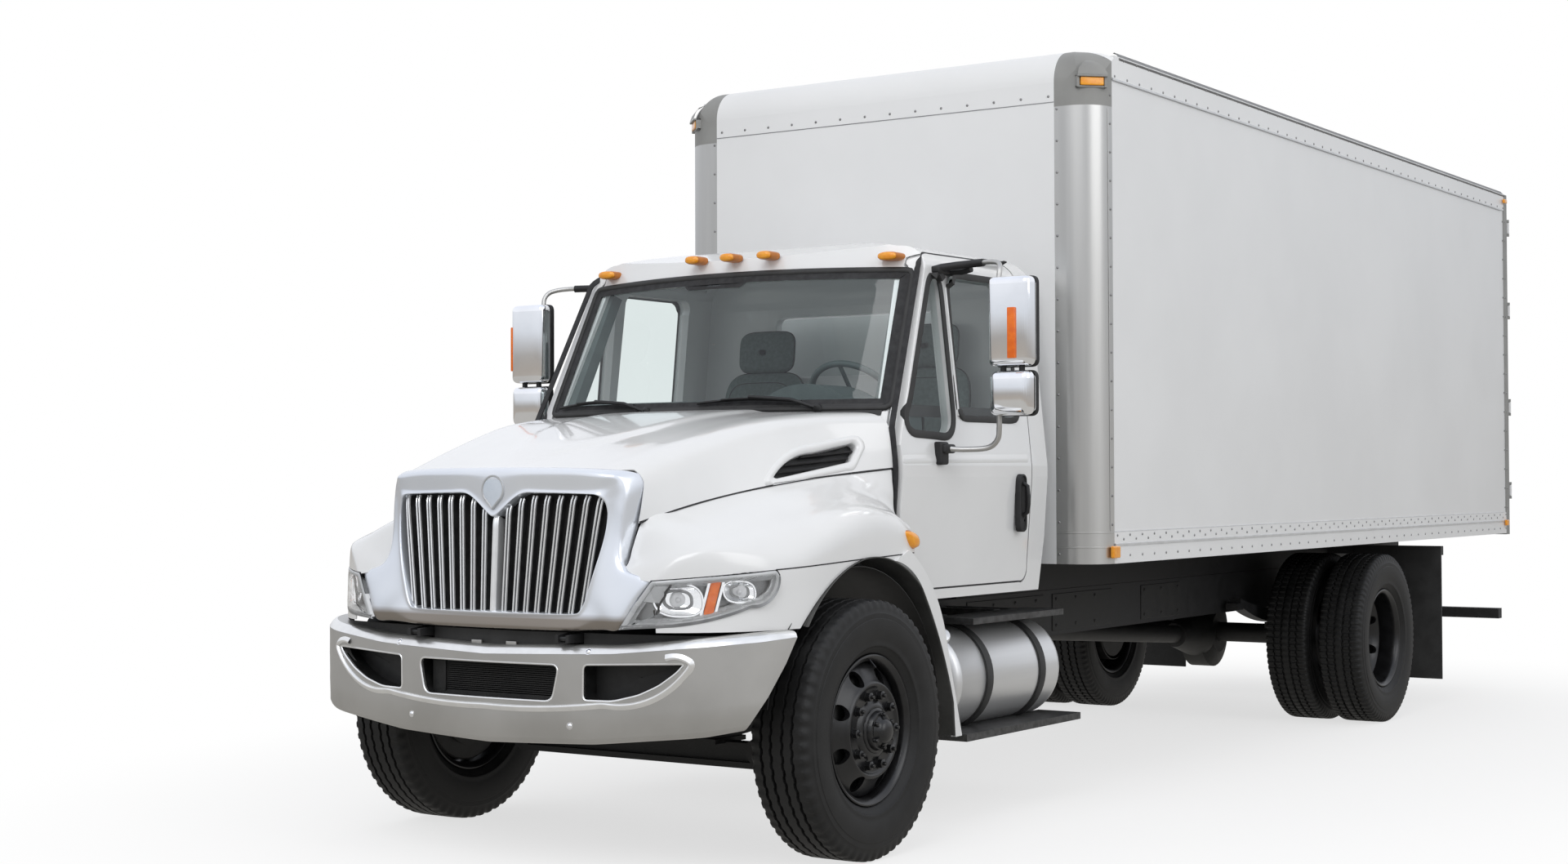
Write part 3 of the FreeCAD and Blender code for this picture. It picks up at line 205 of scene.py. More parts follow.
LINER = finish("arch_liner", (0.055, 0.055, 0.052), (0.085, 0.085, 0.082), 0.55, 0.7, scale=10.0,
               bump_scale=80.0, bump_depth=0.0006)
# Near-black: painted shade in seams and gaps (the fender and hood seams, above each headlamp, in the door
# gaps); also the windscreen's real black frit and the grille's spines.
SHADE_AND_FRIT_BLACK = finish("seam_shadow", (0.012, 0.012, 0.013), (0.03, 0.03, 0.032), 0.7, 0.8, scale=30.0)
BAR_CHROME = finish("bar_chrome", (0.88, 0.89, 0.90), (0.94, 0.95, 0.96), 0.2, 0.28, metallic=0.6,
                    scale=20.0)
# A paler copy of the bumper steel: painted highlight on the bumper's top rim, opening lips and ledge, where
# they face up.
LIP_HIGHLIGHT = finish("bumper_lip_highlight", (0.80, 0.80, 0.79), (0.86, 0.86, 0.85), 0.25, 0.33, metallic=0.8,
                    scale=20.0)
MESH_BLACK = finish("mesh_black", (0.004, 0.004, 0.004), (0.012, 0.012, 0.012), 0.7, 0.9, scale=200.0,
                    bump_scale=600.0, bump_depth=0.001)
BADGE = finish("blank_badge", (0.62, 0.68, 0.76), (0.70, 0.75, 0.82), 0.25, 0.35, scale=12.0)
LAMP_SILVER = finish("lamp_silver", (0.46, 0.47, 0.48), (0.54, 0.55, 0.56), 0.22, 0.34, metallic=0.1,
                     scale=14.0)
LAMP_GREY = finish("lamp_grey", (0.20, 0.205, 0.21), (0.28, 0.285, 0.29), 0.3, 0.4, metallic=0.5,
                   scale=14.0)
LAMP_PALE = finish("lamp_pale", (0.72, 0.73, 0.75), (0.82, 0.83, 0.85), 0.12, 0.2, scale=14.0)
ORANGE = finish("orange_reflector", (0.85, 0.15, 0.01), (0.95, 0.20, 0.01), 0.2, 0.3, scale=40.0,
                bump_scale=300.0, bump_depth=0.0008)
AMBER_DARK = finish("lamp_foot", (0.45, 0.14, 0.01), (0.55, 0.18, 0.015), 0.25, 0.35, scale=40.0)
RED = finish("red_lens", (0.55, 0.02, 0.015), (0.65, 0.03, 0.02), 0.15, 0.25, scale=60.0,
             bump_scale=260.0, bump_depth=0.001, Coat_Weight=0.5)
ALLOY_PALE = finish("pale_alloy", (0.66, 0.67, 0.68), (0.74, 0.75, 0.76), 0.3, 0.42, metallic=0.6,
                    scale=20.0)
ROOF_EDGE = finish("roof_edge", (0.16, 0.16, 0.16), (0.24, 0.24, 0.24), 0.45, 0.6, metallic=0.4, scale=16.0)
BRUSHED = finish("brushed_tank", (0.66, 0.665, 0.67), (0.74, 0.745, 0.75), 0.36, 0.44, metallic=0.7,
                 scale=3.0, stretch=(1, 0.1, 4))
DUCT_BLACK = finish("duct_black", (0.004, 0.004, 0.004), (0.012, 0.012, 0.012), 0.45, 0.6, scale=30.0)
SURROUND_BLUE = finish("surround_plating", (0.74, 0.775, 0.84), (0.82, 0.85, 0.90), 0.18, 0.28,
                       metallic=0.55, scale=2.0)
RIVET = finish("rivet_metal", (0.22, 0.22, 0.22), (0.30, 0.30, 0.30), 0.3, 0.4, metallic=0.8, scale=20.0)


def paint_road_reflection(material, low, high, colour):
    """Darkens a finish below a height, in metres: a painted reflection of the road."""
    tree = material.node_tree
    shader = next(node for node in tree.nodes if node.type == "BSDF_PRINCIPLED")
    source = shader.inputs["Base Color"].links[0].from_socket
    place = add_node(tree, "TexCoord")
    split = add_node(tree, "SeparateXYZ")
    tree.links.new(place.outputs["Object"], split.inputs[0])
    level = map_range(tree, split.outputs["Z"], From_Min=low, From_Max=high)
    mix = add_node(tree, "Mix")
    mix.data_type = "RGBA"
    mix.inputs["A"].default_value = (*colour, 1)
    tree.links.new(level, mix.inputs["Factor"])
    tree.links.new(source, mix.inputs["B"])
    tree.links.new(mix.outputs["Result"], shader.inputs["Base Color"])


# Painted reflection: the surround's lower band turns brown, as the road would show in it.
paint_road_reflection(SURROUND_BLUE, 0.985, 1.012, (0.26, 0.23, 0.20))
GLASS = thin_glass("tinted_glass", (0.88, 0.925, 0.92))
LENS = glass("lamp_lens", (0.92, 0.94, 0.96))
CLEAR = glass("clear_lens", (0.98, 0.985, 0.99))

SLOT_FINISH = {
    "white_paint": WHITE, "white_panel": PANEL, "bright_alloy": ALLOY, "cast_alloy": CAST, "chrome": CHROME,
    "bumper_steel": STEEL, "black_frame": FRAME_BLACK, "black_rim": RIM_BLACK, "tyre": RUBBER,
    "black_rubber": SHEET_RUBBER, "tread_steel": TREAD_PLATE, "glass": GLASS, "lamp_lens": LENS,
    "amber_lens": AMBER, "grey_trim": TRIM, "seat_cloth": CLOTH, "dark_iron": IRON, "floor_wood": WOOD,
}


def dress_nodes():
    slots = {part["node"]: part["material_slot"] for part in frame["record"]["subparts"]}
    for name, node in NODES.items():
        material = SLOT_FINISH[slots[name]]
        if node.material_slots:
            for holder in node.material_slots:
                holder.material = material
        else:
            node.data.materials.append(material)


# Mesh tools. Shapes are drawn in millimetres with Y from the front axle, as the part's source has them.
# A shape is a pair: its points and its faces.
MIDDLE_Y = 3850.5


def in_frame(p):
    """A drawn place in the row frame, in metres."""
    return p[0] / 1000, (p[1] - MIDDLE_Y) / 1000, p[2] / 1000


def opposite(p):
    """A place's mirror image on the truck's other side."""
    return Vector((-p[0], p[1], p[2]))


class Heap:
    """Shapes gathered into one mesh."""

    def __init__(self):
        self.points, self.faces = [], []

    def add(self, shape):
        base = len(self.points)
        self.points += [Vector(p) for p in shape[0]]
        self.faces += [[i + base for i in face] for face in shape[1]]
        return self

    def mirrored(self):
        other = Heap()
        other.points = [opposite(p) for p in self.points]
        other.faces = [list(reversed(face)) for face in self.faces]
        return other


def heaped(shape):
    """A heap as it is, or one that holds just this shape."""
    return shape if isinstance(shape, Heap) else Heap().add(shape)


def build(name, shape, slot, body, replaces=(), material=None, sharp=38, levels=0, thickness=0.0):
    heap = heaped(shape)
    mesh = bpy.data.meshes.new(name)
    mesh.from_pydata([in_frame(p) for p in heap.points], [], heap.faces)
    mesh.validate()
    mesh.polygons.foreach_set("use_smooth", [True] * len(mesh.polygons))
    mesh.materials.append(material or SLOT_FINISH[slot])
    piece = bpy.data.objects.new(name, mesh)
    bpy.context.collection.objects.link(piece)
    if thickness:
        shell = piece.modifiers.new("thickness", "SOLIDIFY")
        shell.thickness = thickness / 1000
        shell.offset = -1
    if levels:
        smooth = piece.modifiers.new("smooth", "SUBSURF")
        smooth.levels = smooth.render_levels = levels
    if thickness or levels:
        settle(piece)
    if sharp:
        piece.data.set_sharp_from_angle(angle=math.radians(sharp))
    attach(piece, body)
    for node in replaces:
        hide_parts(node)
    return piece


def settle(piece):
    """Turns a piece's modifiers into its mesh."""
    bpy.context.view_layer.update()
    shaped = bpy.data.meshes.new_from_object(piece.evaluated_get(bpy.context.evaluated_depsgraph_get()))
    piece.modifiers.clear()
    piece.data = shaped


def build_pair(name, shape, slot, bodies, replaces=(), **options):
    """A left piece and its mirror image; each name in replaces and bodies gets _left or _right."""
    heap = heaped(shape)
    pieces = []
    for side, half in (("_left", heap), ("_right", heap.mirrored())):
        body = bodies if bodies in frame["bodies"] else bodies + side
        pieces.append(build(name + side, half, slot, body, [node + side for node in replaces], **options))
    return pieces


def carve(piece, cutters):
    """Cuts shapes out of a piece."""
    for shape in cutters:
        mesh = bpy.data.meshes.new("cutter")
        mesh.from_pydata([in_frame(p) for p in shape[0]], [], shape[1])
        work = bmesh.new()
        work.from_mesh(mesh)
        bmesh.ops.recalc_face_normals(work, faces=work.faces)
        work.to_mesh(mesh)
        work.free()
        cutter = bpy.data.objects.new("cutter", mesh)
        bpy.context.collection.objects.link(cutter)
        cut = piece.modifiers.new("cut", "BOOLEAN")
        cut.operation = "DIFFERENCE"
        cut.object = cutter
        cut.solver = "EXACT"
        settle(piece)
        bpy.data.objects.remove(cutter)
    piece.data.polygons.foreach_set("use_smooth", [True] * len(piece.data.polygons))
    piece.data.set_sharp_from_angle(angle=math.radians(38))


def arc_points(start, middle, end, step):
    ax, ay = start
    bx, by = middle
    cx, cy = end
    d = 2 * (ax * (by - cy) + bx * (cy - ay) + cx * (ay - by))
    if abs(d) < 1e-6:
        return [end]
    a2, b2, c2 = ax * ax + ay * ay, bx * bx + by * by, cx * cx + cy * cy
    ox = (a2 * (by - cy) + b2 * (cy - ay) + c2 * (ay - by)) / d
    oy = (a2 * (cx - bx) + b2 * (ax - cx) + c2 * (bx - ax)) / d
    radius = math.hypot(ax - ox, ay - oy)
    first = math.atan2(ay - oy, ax - ox)
    mid = (math.atan2(by - oy, bx - ox) - first) % (2 * math.pi)
    last = (math.atan2(cy - oy, cx - ox) - first) % (2 * math.pi)
    sweep = last if mid < last else last - 2 * math.pi
    count = max(2, int(abs(sweep) * radius / step) + 1)
    angles = [first + sweep * k / count for k in range(1, count + 1)]
    return [(ox + radius * math.cos(a), oy + radius * math.sin(a)) for a in angles]


def trace(start, *steps, step=12.0):
    """The points of an outline; (u, v) draws a line there, and (um, vm, u, v) an arc by way of (um, vm)."""
    points = [start]
    for move in steps:
        if len(move) == 4:
            points += arc_points(points[-1], move[:2], move[2:], step)
        else:
            points.append(move)
    return points


def resample(points, count, closed=False):
    """Evenly spaced points along a polyline of tuples or vectors."""
    points = [Vector(p) for p in points]
    if closed:
        points.append(points[0])
    lengths = [0.0]
    for a, b in zip(points, points[1:]):
        lengths.append(lengths[-1] + (b - a).length)
    result = []
    k = 0
    for i in range(count):
        target = lengths[-1] * i / (count if closed else count - 1)
        while k < len(points) - 2 and lengths[k + 1] < target:
            k += 1
        span = lengths[k + 1] - lengths[k]
        result.append(points[k].lerp(points[k + 1], (target - lengths[k]) / span if span else 0))
    return result


def spline_at(knots, t, closed=False):
    """A place on a smooth curve through the knots; t runs from 0 to 1."""
    n = len(knots)
    spans = n if closed else n - 1
    k = min(int(t * spans), spans - 1)
    f = t * spans - k
    if closed:
        a, b, c, d = (Vector(knots[(k + j) % n]) for j in (-1, 0, 1, 2))
    else:
        b, c = Vector(knots[k]), Vector(knots[k + 1])
        a = Vector(knots[k - 1]) if k else b * 2 - c
        d = Vector(knots[k + 2]) if k + 2 < n else c * 2 - b
    return (b + (c - a) * (0.5 * f) + (a * 2 - b * 5 + c * 4 - d) * (0.5 * f * f)
            + (b * 3 - c * 3 + d - a) * (0.5 * f ** 3))


def spline(knots, count, closed=False):
    return [spline_at(knots, i / (count if closed else count - 1), closed) for i in range(count)]


def grid(rows, closed_rows=False, closed=False, flip=False):
    """Quads over rows of points; closed joins each row's end to its start."""
    count = len(rows[0])
    points = [p for row in rows for p in row]
    faces = []
    for i in range(len(rows) if closed_rows else len(rows) - 1):
        for j in range(count if closed else count - 1):
            a, b = i * count + j, i * count + (j + 1) % count
            c = (i + 1) % len(rows) * count
            face = [a, b, c + (j + 1) % count, c + j]
            faces.append(face[::-1] if flip else face)
    return points, faces


def capped(rows, flip=False):
    """A tube of closed rows with both ends filled."""
    points, faces = grid(rows, closed=True, flip=flip)
    count = len(rows[0])
    ends = [list(range(count))[::-1], list(range(len(points) - count, len(points)))]
    return points, faces + [end[::-1] if flip else end for end in ends]


def prism_x(outline, low, high):
    """A (y, z) outline carried from low to high along X."""
    return capped([[(x, y, z) for y, z in outline] for x in (low, high)])


def prism_y(outline, low, high):
    """An (x, z) outline carried from low to high along Y."""
    return capped([[(x, y, z) for x, z in outline] for y in (low, high)], flip=True)


def slab(low, high, bevel, segments=2):
    """A block with rounded edges."""
    work = bmesh.new()
    bmesh.ops.create_cube(work, size=1)
    low, high = Vector(low), Vector(high)
    for v in work.verts:
        v.co = Vector(((low[i] + high[i]) / 2 + v.co[i] * (high[i] - low[i]) for i in range(3)))
    if bevel:
        bmesh.ops.bevel(work, geom=list(work.edges), offset=bevel, segments=segments, profile=0.6,
                        affect="EDGES")
    shape = [v.co.copy() for v in work.verts], [[v.index for v in f.verts] for f in work.faces]
    work.free()
    return shape


def turns(count, shift=0.0):
    """Angles evenly spaced round a full turn; shift counts in steps."""
    return [2 * math.pi * (k + shift) / count for k in range(count)]


def squared(value, power):
    """A sine or cosine raised to a power with its sign kept; below 1 it squares up a circle."""
    return math.copysign(abs(value) ** power, value)


def aim(direction):
    """Two directions square to a given one, and that one."""
    z = Vector(direction).normalized()
    x = z.cross(Vector((0, 0, 1)) if abs(z.z) < 0.9 else Vector((1, 0, 0))).normalized()
    return x, z.cross(x), z


def lathe(profile, centre, axis, steps):
    """A profile of (along, radius) turned about an axis through centre."""
    x, y, z = aim(axis)
    centre = Vector(centre)
    rows = [[centre + z * along + (x * math.cos(a) + y * math.sin(a)) * radius
             for a in turns(steps)] for along, radius in profile]
    return grid(rows, closed=True)


def dome(centre, normal, radius, height, sides):
    return lathe([(0, radius), (height * 0.55, radius * 0.86), (height * 0.9, radius * 0.5), (height, 0.01)],
                 centre, normal, sides)


def rod(start, end, radius, sides=16):
    start, end = Vector(start), Vector(end)
    length = (end - start).length
    return lathe([(0, 0.01), (0, radius), (length, radius), (length, 0.01)], start, end - start, sides)


def heading(points, k, closed):
    """The direction of a path at its k-th point."""
    if closed:
        return (points[(k + 1) % len(points)] - points[k - 1]).normalized()
    return (points[min(k + 1, len(points) - 1)] - points[max(k - 1, 0)]).normalized()


def tube(points, radius, sides=12, closed=False):
    """A round bar along a path."""
    points = [Vector(p) for p in points]
    rows = []
    up = None
    for k, p in enumerate(points):
        along = heading(points, k, closed)
        up = aim(along)[0] if up is None else (up - along * up.dot(along)).normalized()
        side = along.cross(up)
        rows.append([p + (up * math.cos(a) + side * math.sin(a)) * radius for a in turns(sides)])
    return grid(rows, closed_rows=True, closed=True) if closed else capped(rows)


def ribbon(points, ups, profile, closed=False):
    """A profile of (sideways, up) carried along a path; ups holds the surface's normal at each point."""
    points = [Vector(p) for p in points]
    rows = []
    for k, p in enumerate(points):
        along = heading(points, k, closed)
        up = Vector(ups[k] if isinstance(ups, list) else ups)
        up = (up - along * up.dot(along)).normalized()
        side = along.cross(up)
        rows.append([p + side * a + up * b for a, b in profile])
    return grid(rows, closed_rows=closed, flip=True)


# Where looks at the truck start: left of it, and ahead of it.
LEFT_EYE = 1700
FRONT_EYE = -1600


class Skin:
    """A surface to lay things on, from CAD nodes or shapes."""

    def __init__(self, *sources):
        points, faces = [], []
        for source in sources:
            base = len(points)
            if isinstance(source, str):
                mesh = NODES[source].data
                points += [(v.co.x * 1000, v.co.y * 1000 + MIDDLE_Y, v.co.z * 1000) for v in mesh.vertices]
                faces += [[i + base for i in f.vertices] for f in mesh.polygons]
            else:
                points += [tuple(p) for p in source[0]]
                faces += [[i + base for i in f] for f in source[1]]
        self.tree = BVHTree.FromPolygons(points, faces)

    def hit(self, start, direction):
        place, normal, _, _ = self.tree.ray_cast(Vector(start), Vector(direction).normalized())
        if place is None:
            place, normal, _, _ = self.tree.find_nearest(Vector(start))
        if normal.dot(Vector(direction)) > 0:
            normal = -normal
        return place, normal

    def look(self, view, u, v):
        """The place and normal seen at (u, v) from the side or the front."""
        if view == "side":
            return self.hit((LEFT_EYE, u, v), (-1, 0, 0))
        return self.hit((u, FRONT_EYE, v), (0, 1, 0))

    def side(self, y, z, lift):
        place, normal = self.look("side", y, z)
        return place + normal * lift

    def front(self, x, z, lift):
        place, normal = self.look("front", x, z)
        return place + normal * lift

    def line(self, outline, view, lift=0.0):
        """Points and normals where an outline seen from the side or the front lies on the skin."""
        places, normals = [], []
        for u, v in outline:
            place, normal = self.look(view, u, v)
            places.append(place + normal * lift)
            normals.append(normal)
        return places, normals


def shrunk(outline, amount):
    """An outline moved inwards by about amount, by scaling about its middle."""
    points = [Vector(p) for p in outline]
    low = Vector((min(p.x for p in points), min(p.y for p in points)))
    high = Vector((max(p.x for p in points), max(p.y for p in points)))
    middle = (low + high) / 2
    size = high - low
    return [Vector((middle.x + (p.x - middle.x) * (1 - 2 * amount / size.x),
                    middle.y + (p.y - middle.y) * (1 - 2 * amount / size.y))) for p in points]


def lerp(a, b, t):
    return a + (b - a) * t


def between(rows, at):
    """The row of numbers at a place, from a table whose first column is the place, on a smooth curve."""
    if at <= rows[0][0]:
        return list(rows[0][1:])
    if at >= rows[-1][0]:
        return list(rows[-1][1:])
    k = max(i for i in range(len(rows) - 1) if rows[i][0] <= at)
    f = (at - rows[k][0]) / (rows[k + 1][0] - rows[k][0])
    a, b, c, d = rows[max(k - 1, 0)], rows[k], rows[k + 1], rows[min(k + 2, len(rows) - 1)]
    result = []
    for col in range(1, len(b)):
        width = c[0] - b[0]
        slope_b = (c[col] - a[col]) / (c[0] - a[0]) * width
        slope_c = (d[col] - b[col]) / (d[0] - b[0]) * width
        f2, f3 = f * f, f ** 3
        result.append(b[col] * (2 * f3 - 3 * f2 + 1) + slope_b * (f3 - 2 * f2 + f)
                      + c[col] * (3 * f2 - 2 * f3) + slope_c * (f3 - f2))
    return result


# Hood. Columns: y, middle z, shoulder x and z, edge x and z, as in the part's source.
HOOD_ROWS = (
    (-905, 1562, 548, 1530, 600, 1335),
    (-880, 1568, 552, 1538, 606, 1340),
    (-500, 1674, 625, 1648, 700, 1433),
    (-120, 1760, 705, 1740, 820, 1503),
    (200, 1802, 795, 1778, 918, 1541),
    (500, 1815, 950, 1790, 1004, 1568),
)
SEAM_LINE = ((900, -895), (1190, -860), (1360, -812), (1490, -775), (1540, -790), (1566, -905),
             (1700, -905))
SCOOP_RIM = ((-205, 1508), (-75, 1612, 70, 1656), (285, 1694), (320, 1688, 318, 1645), (262, 1580),
             (246, 1566, 216, 1562), (-182, 1500), (-200, 1500, -205, 1508))
SCOOP_MOUTH = ((-150, 1532), (-35, 1606, 84, 1632), (268, 1668), (292, 1664, 290, 1648), (240, 1594),
               (-140, 1526))
DOME_EDGE = ((-860, 30), (-740, 100), (-555, 190), (-295, 300), (175, 380), (500, 400))
# How far behind the surround's seam the hood's skin starts.
SEAM_GAP = 2.2


def along_table(table, at):
    """The number at a place, from a table of (place, number), on straight lines between."""
    for (a, u), (b, v) in zip(table, table[1:]):
        if at <= b:
            return lerp(u, v, max(0.0, (at - a) / (b - a)))
    return table[-1][1]


def hood_point(y, t):
    """t runs from the side's lower edge, 0, over the shoulder to the middle line, 1."""
    middle, shoulder_x, shoulder_z, edge_x, edge_z = between(HOOD_ROWS, y)
    knots = [(edge_x, edge_z), (lerp(edge_x, shoulder_x + 47, 0.5) + 2, lerp(edge_z, shoulder_z - 60, 0.5)),
             (shoulder_x + 45, shoulder_z - 58), (shoulder_x + 22, shoulder_z - 16),
             (shoulder_x - 38, shoulder_z + 10)]
    for f in (0.8, 0.6, 0.4, 0.2, 0.0):
        x = (shoulder_x - 40) * f
        knots.append((x, middle - (middle - shoulder_z - 12) * f * f))
    x, z = spline_at(knots, t)
    # A low raised panel down the middle, with soft edges that open towards the windscreen.
    half = along_table(DOME_EDGE, y)
    rise = 1 / (1 + math.exp((abs(x) - half) / 13))
    fade = min(1.0, max(0.0, (y + 860) / 200))
    return x, z + 12 * rise * fade


def hood_rows(count_along=70, count_across=64):
    rows = []
    for j in range(count_across + 1):
        t = j / count_across
        x, z = hood_point(-850, t)
        front = along_table(SEAM_LINE, z) + SEAM_GAP
        rear = 480
        for _ in range(4):
            x, z = hood_point(rear, t)
            rear = min(300 + 202 * (x / 1100) ** 2, 501)
        column = []
        for i in range(count_along + 1):
            y = lerp(front, rear, i / count_along)
            x, z = hood_point(y, t)
            column.append((x, y, z))
        rows.append(column)
    return rows


def add_hood():
    half = hood_rows()
    other = [[(-x, y, z) for x, y, z in column] for column in half[:-1]]
    heap = Heap().add(grid(half + other[::-1], flip=True))
    skin = Skin(grid(half))
    hood = build("hood_skin", heap, "white_paint", "hood", ["hood"], thickness=5)
    rim = trace(*SCOOP_RIM, step=10)
    carve(hood, [prism_x(shrunk(rim, 6), 500, 1100), prism_x(shrunk(rim, 6), -1100, -500)])
    # The scoop: a raised rim round a slatted mouth.
    count = 120
    outer = moved_in(resample(rim, count, closed=True), -9)
    inner = resample(trace(*SCOOP_MOUTH, step=8), count, closed=True)
    inner = min((inner[k:] + inner[:k] for k in range(count)),
                key=lambda loop: sum((a - b).length_squared for a, b in zip(outer, loop)))
    shape = ((-0.02, -3), (0.0, 1.5), (0.12, 8), (0.35, 12), (0.55, 12), (0.86, 6), (0.97, 0), (1.0, -6),
             (1.0, -45))
    rows = [[skin.side(lerp(a.x, b.x, f), lerp(a.y, b.y, f), lift) for a, b in zip(outer, inner)]
            for f, lift in shape]
    build_pair("hood_scoop_rim", grid(rows, closed=True), "white_paint", "hood", sharp=60)
    black = Heap()
    back = [skin.side(p.x, p.y, -38) for p in inner]
    middle = sum(back, Vector()) / count
    black.add(grid([back, [p.lerp(middle, 0.98) for p in back]], closed=True))
    for k in range(7):
        z = 1490 + k * 26
        line = [Vector((y, z + (y + 260) * 0.09)) for y in range(-170, 300, 10)]
        inside = [p for p in line if inside_outline(p, inner, 4)]
        if len(inside) > 2:
            places, normals = skin.line(inside, "side", -12)
            black.add(ribbon(places, normals, [(-4, -16), (-5, -2), (0, 2), (5, -2), (4, -16)]))
    left, _ = build_pair("hood_scoop_slats", black, "black_rubber", "hood", material=FRAME_BLACK)
    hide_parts("hood_scoops")


def inside_outline(p, outline, margin):
    inside = False
    nearest = 1e9
    for a, b in zip(outline, outline[1:] + outline[:1]):
        if (a.y > p.y) != (b.y > p.y) and p.x < (b.x - a.x) * (p.y - a.y) / (b.y - a.y) + a.x:
            inside = not inside
        nearest = min(nearest, (p - a).length)
    return inside and nearest > margin


# Fenders. Columns: y, seam x and z, crest x and z, outer x and z, low z.
FENDER_ROWS = (
    (-912, 604, 1146, 735, 1138, 825, 1075, 948),
    (-895, 606, 1176, 772, 1178, 872, 1100, 948),
    (-860, 611, 1215, 805, 1232, 932, 1132, 948),
    (-790, 624, 1362, 840, 1285, 1000, 1160, 948),
    (-640, 663, 1402, 885, 1325, 1060, 1180, 948),
    (-300, 766, 1474, 940, 1400, 1125, 1235, 948),
    (60, 878, 1528, 1005, 1450, 1131, 1290, 948),
    (300, 948, 1553, 1015, 1425, 1131, 1262, 948),
    (444, 992, 1564, 1010, 1375, 1105, 1222, 948),
)
ARCH = ((-500, 300), (-430, 940), (-270, 1085, 15, 1203), (270, 1178, 465, 1066), (600, 854, 722, 568),
        (770, 300))
TAIL = ((250, 1186), (360, 1228), (533, 1085, 668, 815), (790, 420), (735, 420), (722, 568),
        (600, 854, 465, 1066), (380, 1140, 250, 1186))
FENDER_X = 1131
CORNER_PLAN = trace((500, -975), (640, -972), (950, -800, FENDER_X, -400), (FENDER_X, 900), step=6)
CORNER_EASE = 30


def corner_limit(y, z):
    """How far out the front corner's plan lets a point at y be."""
    y = y - 0.04 * (z - 700)
    if y >= -400:
        return FENDER_X
    for (xa, ya), (xb, yb) in zip(CORNER_PLAN[1:], CORNER_PLAN[2:]):
        if yb >= y:
            return lerp(xa, xb, max(0.0, (y - ya) / (yb - ya)))
    return FENDER_X


def fender_point(y, t):
    seam_x, seam_z, crest_x, crest_z, outer_x, outer_z, low = between(FENDER_ROWS, y)
    knots = [(seam_x, seam_z), (lerp(seam_x, crest_x, 0.5), lerp(seam_z, crest_z, 0.5) + 4),
             (crest_x, crest_z),
             ((crest_x + outer_x) / 2 + 26, (crest_z + outer_z) / 2 + 20), (outer_x, outer_z),
             (outer_x, lerp(outer_z, low, 0.5)), (outer_x, low)]
    x, z = spline_at(knots, t)
    limit = corner_limit(y, z)
    if x > limit - CORNER_EASE:
        x = limit - CORNER_EASE * math.exp(-(x - limit + CORNER_EASE) / CORNER_EASE)
    return x, z


LAMP_CORNER = (641, -962)
LAMP_TURN = math.radians(42.4)
LAMP_OUTLINE = ((0, 956), (58, 1052), (121, 1142), (604, 1176), (617, 1157), (592, 1080, 498, 1040),
                (360, 998, 199, 972))


def from_chord(u, w, z):
    """A place given along the lamp's chord and out from it."""
    return Vector((LAMP_CORNER[0] + u * math.cos(LAMP_TURN) + w * math.sin(LAMP_TURN),
                   LAMP_CORNER[1] + u * math.sin(LAMP_TURN) - w * math.cos(LAMP_TURN), z))


def lamp_cutter(grow):
    outline = shrunk(trace(*LAMP_OUTLINE, step=12), -grow)
    return capped([[tuple(from_chord(p.x, w, p.y)) for p in outline] for w in (-300, 300)])


FENDER_SEAM = ((-588, 1176), (-345, 1187), (-48, 1199), (267, 1209), (425, 1214), (470, 1214))


def add_fenders(hood_edge):
    rows = []
    for i in range(91):
        y = lerp(-911, 443, i / 90)
        rows.append([Vector((x, y, z)) for x, z in (fender_point(y, j / 60) for j in range(61))])
    surface = grid(rows)
    skin = Skin(surface)
    arch = trace(*ARCH, step=14)
    ahead = [(-1100, 900)] + [(y, z) for z, y in SEAM_LINE] + [(-1100, 1700)]
    pieces = build_pair("fender_skin", surface, "white_paint", "hood", ["fender"], thickness=5)
    for piece, side in zip(pieces, (1, -1)):
        lamp = lamp_cutter(3)
        if side < 0:
            lamp = [(-x, y, z) for x, y, z in lamp[0]], lamp[1]
        carve(piece, [prism_x(arch, *sorted((side * 600, side * 1300))),
                      prism_x(ahead, *sorted((side * 500, side * 616))), lamp])
    # The splash tail behind the wheel, and the liner that lips the arch.
    skirt = Heap().add(prism_x(trace(*TAIL, step=14), 1108, FENDER_X))
    build_pair("fender_tail", skirt, "white_paint", "hood")
    lip = trace((-404, 956), (-270, 1085, 15, 1203), (270, 1178, 465, 1066), (600, 854, 722, 568), (735, 425))
    liner = ribbon([(1125, y, z) for y, z in lip], (1, 0, 0),
                   [(-1, 5), (3, 6), (5, 3), (5, -4), (2, -8), (2, -190), (-2, -190), (-2, -8)])
    build_pair("fender_liner", liner, "black_rubber", "hood", material=LINER)
    # A dark shell over the wheel, between the frame and the arch.
    angles = [math.radians(12 + 6 * k) for k in range(27)]
    well = [[(x, -math.cos(a) * reach, 520 + math.sin(a) * reach) for a in angles]
            for x, reach in ((430, 608), (1098, 650))]
    build_pair("wheel_well", grid(well), "black_rubber", "hood", material=DUCT_BLACK, thickness=3)
    # Thin dark strips along the fender's seam and the hood's side seam: painted shade in the grooves.
    line = [(y, along_table(FENDER_SEAM, y)) for y in range(-550, 435, 24)]
    seam = ribbon(*skin.line(line, "side", 0.6), [(-2.4, -1), (-2.4, 0.4), (2.4, 0.4), (2.4, -1)])
    build_pair("fender_seam_shade", seam, "black_rubber", "hood", material=SHADE_AND_FRIT_BLACK)
    seam = ribbon([(x + 3.5, y, z + 1.5) for x, y, z in hood_edge], (0.75, 0, 0.65),
                  [(-3, -6), (-3, 4), (3, 4), (3, -6)])
    build_pair("hood_side_seam_shade", seam, "black_rubber", "hood", material=SHADE_AND_FRIT_BLACK)


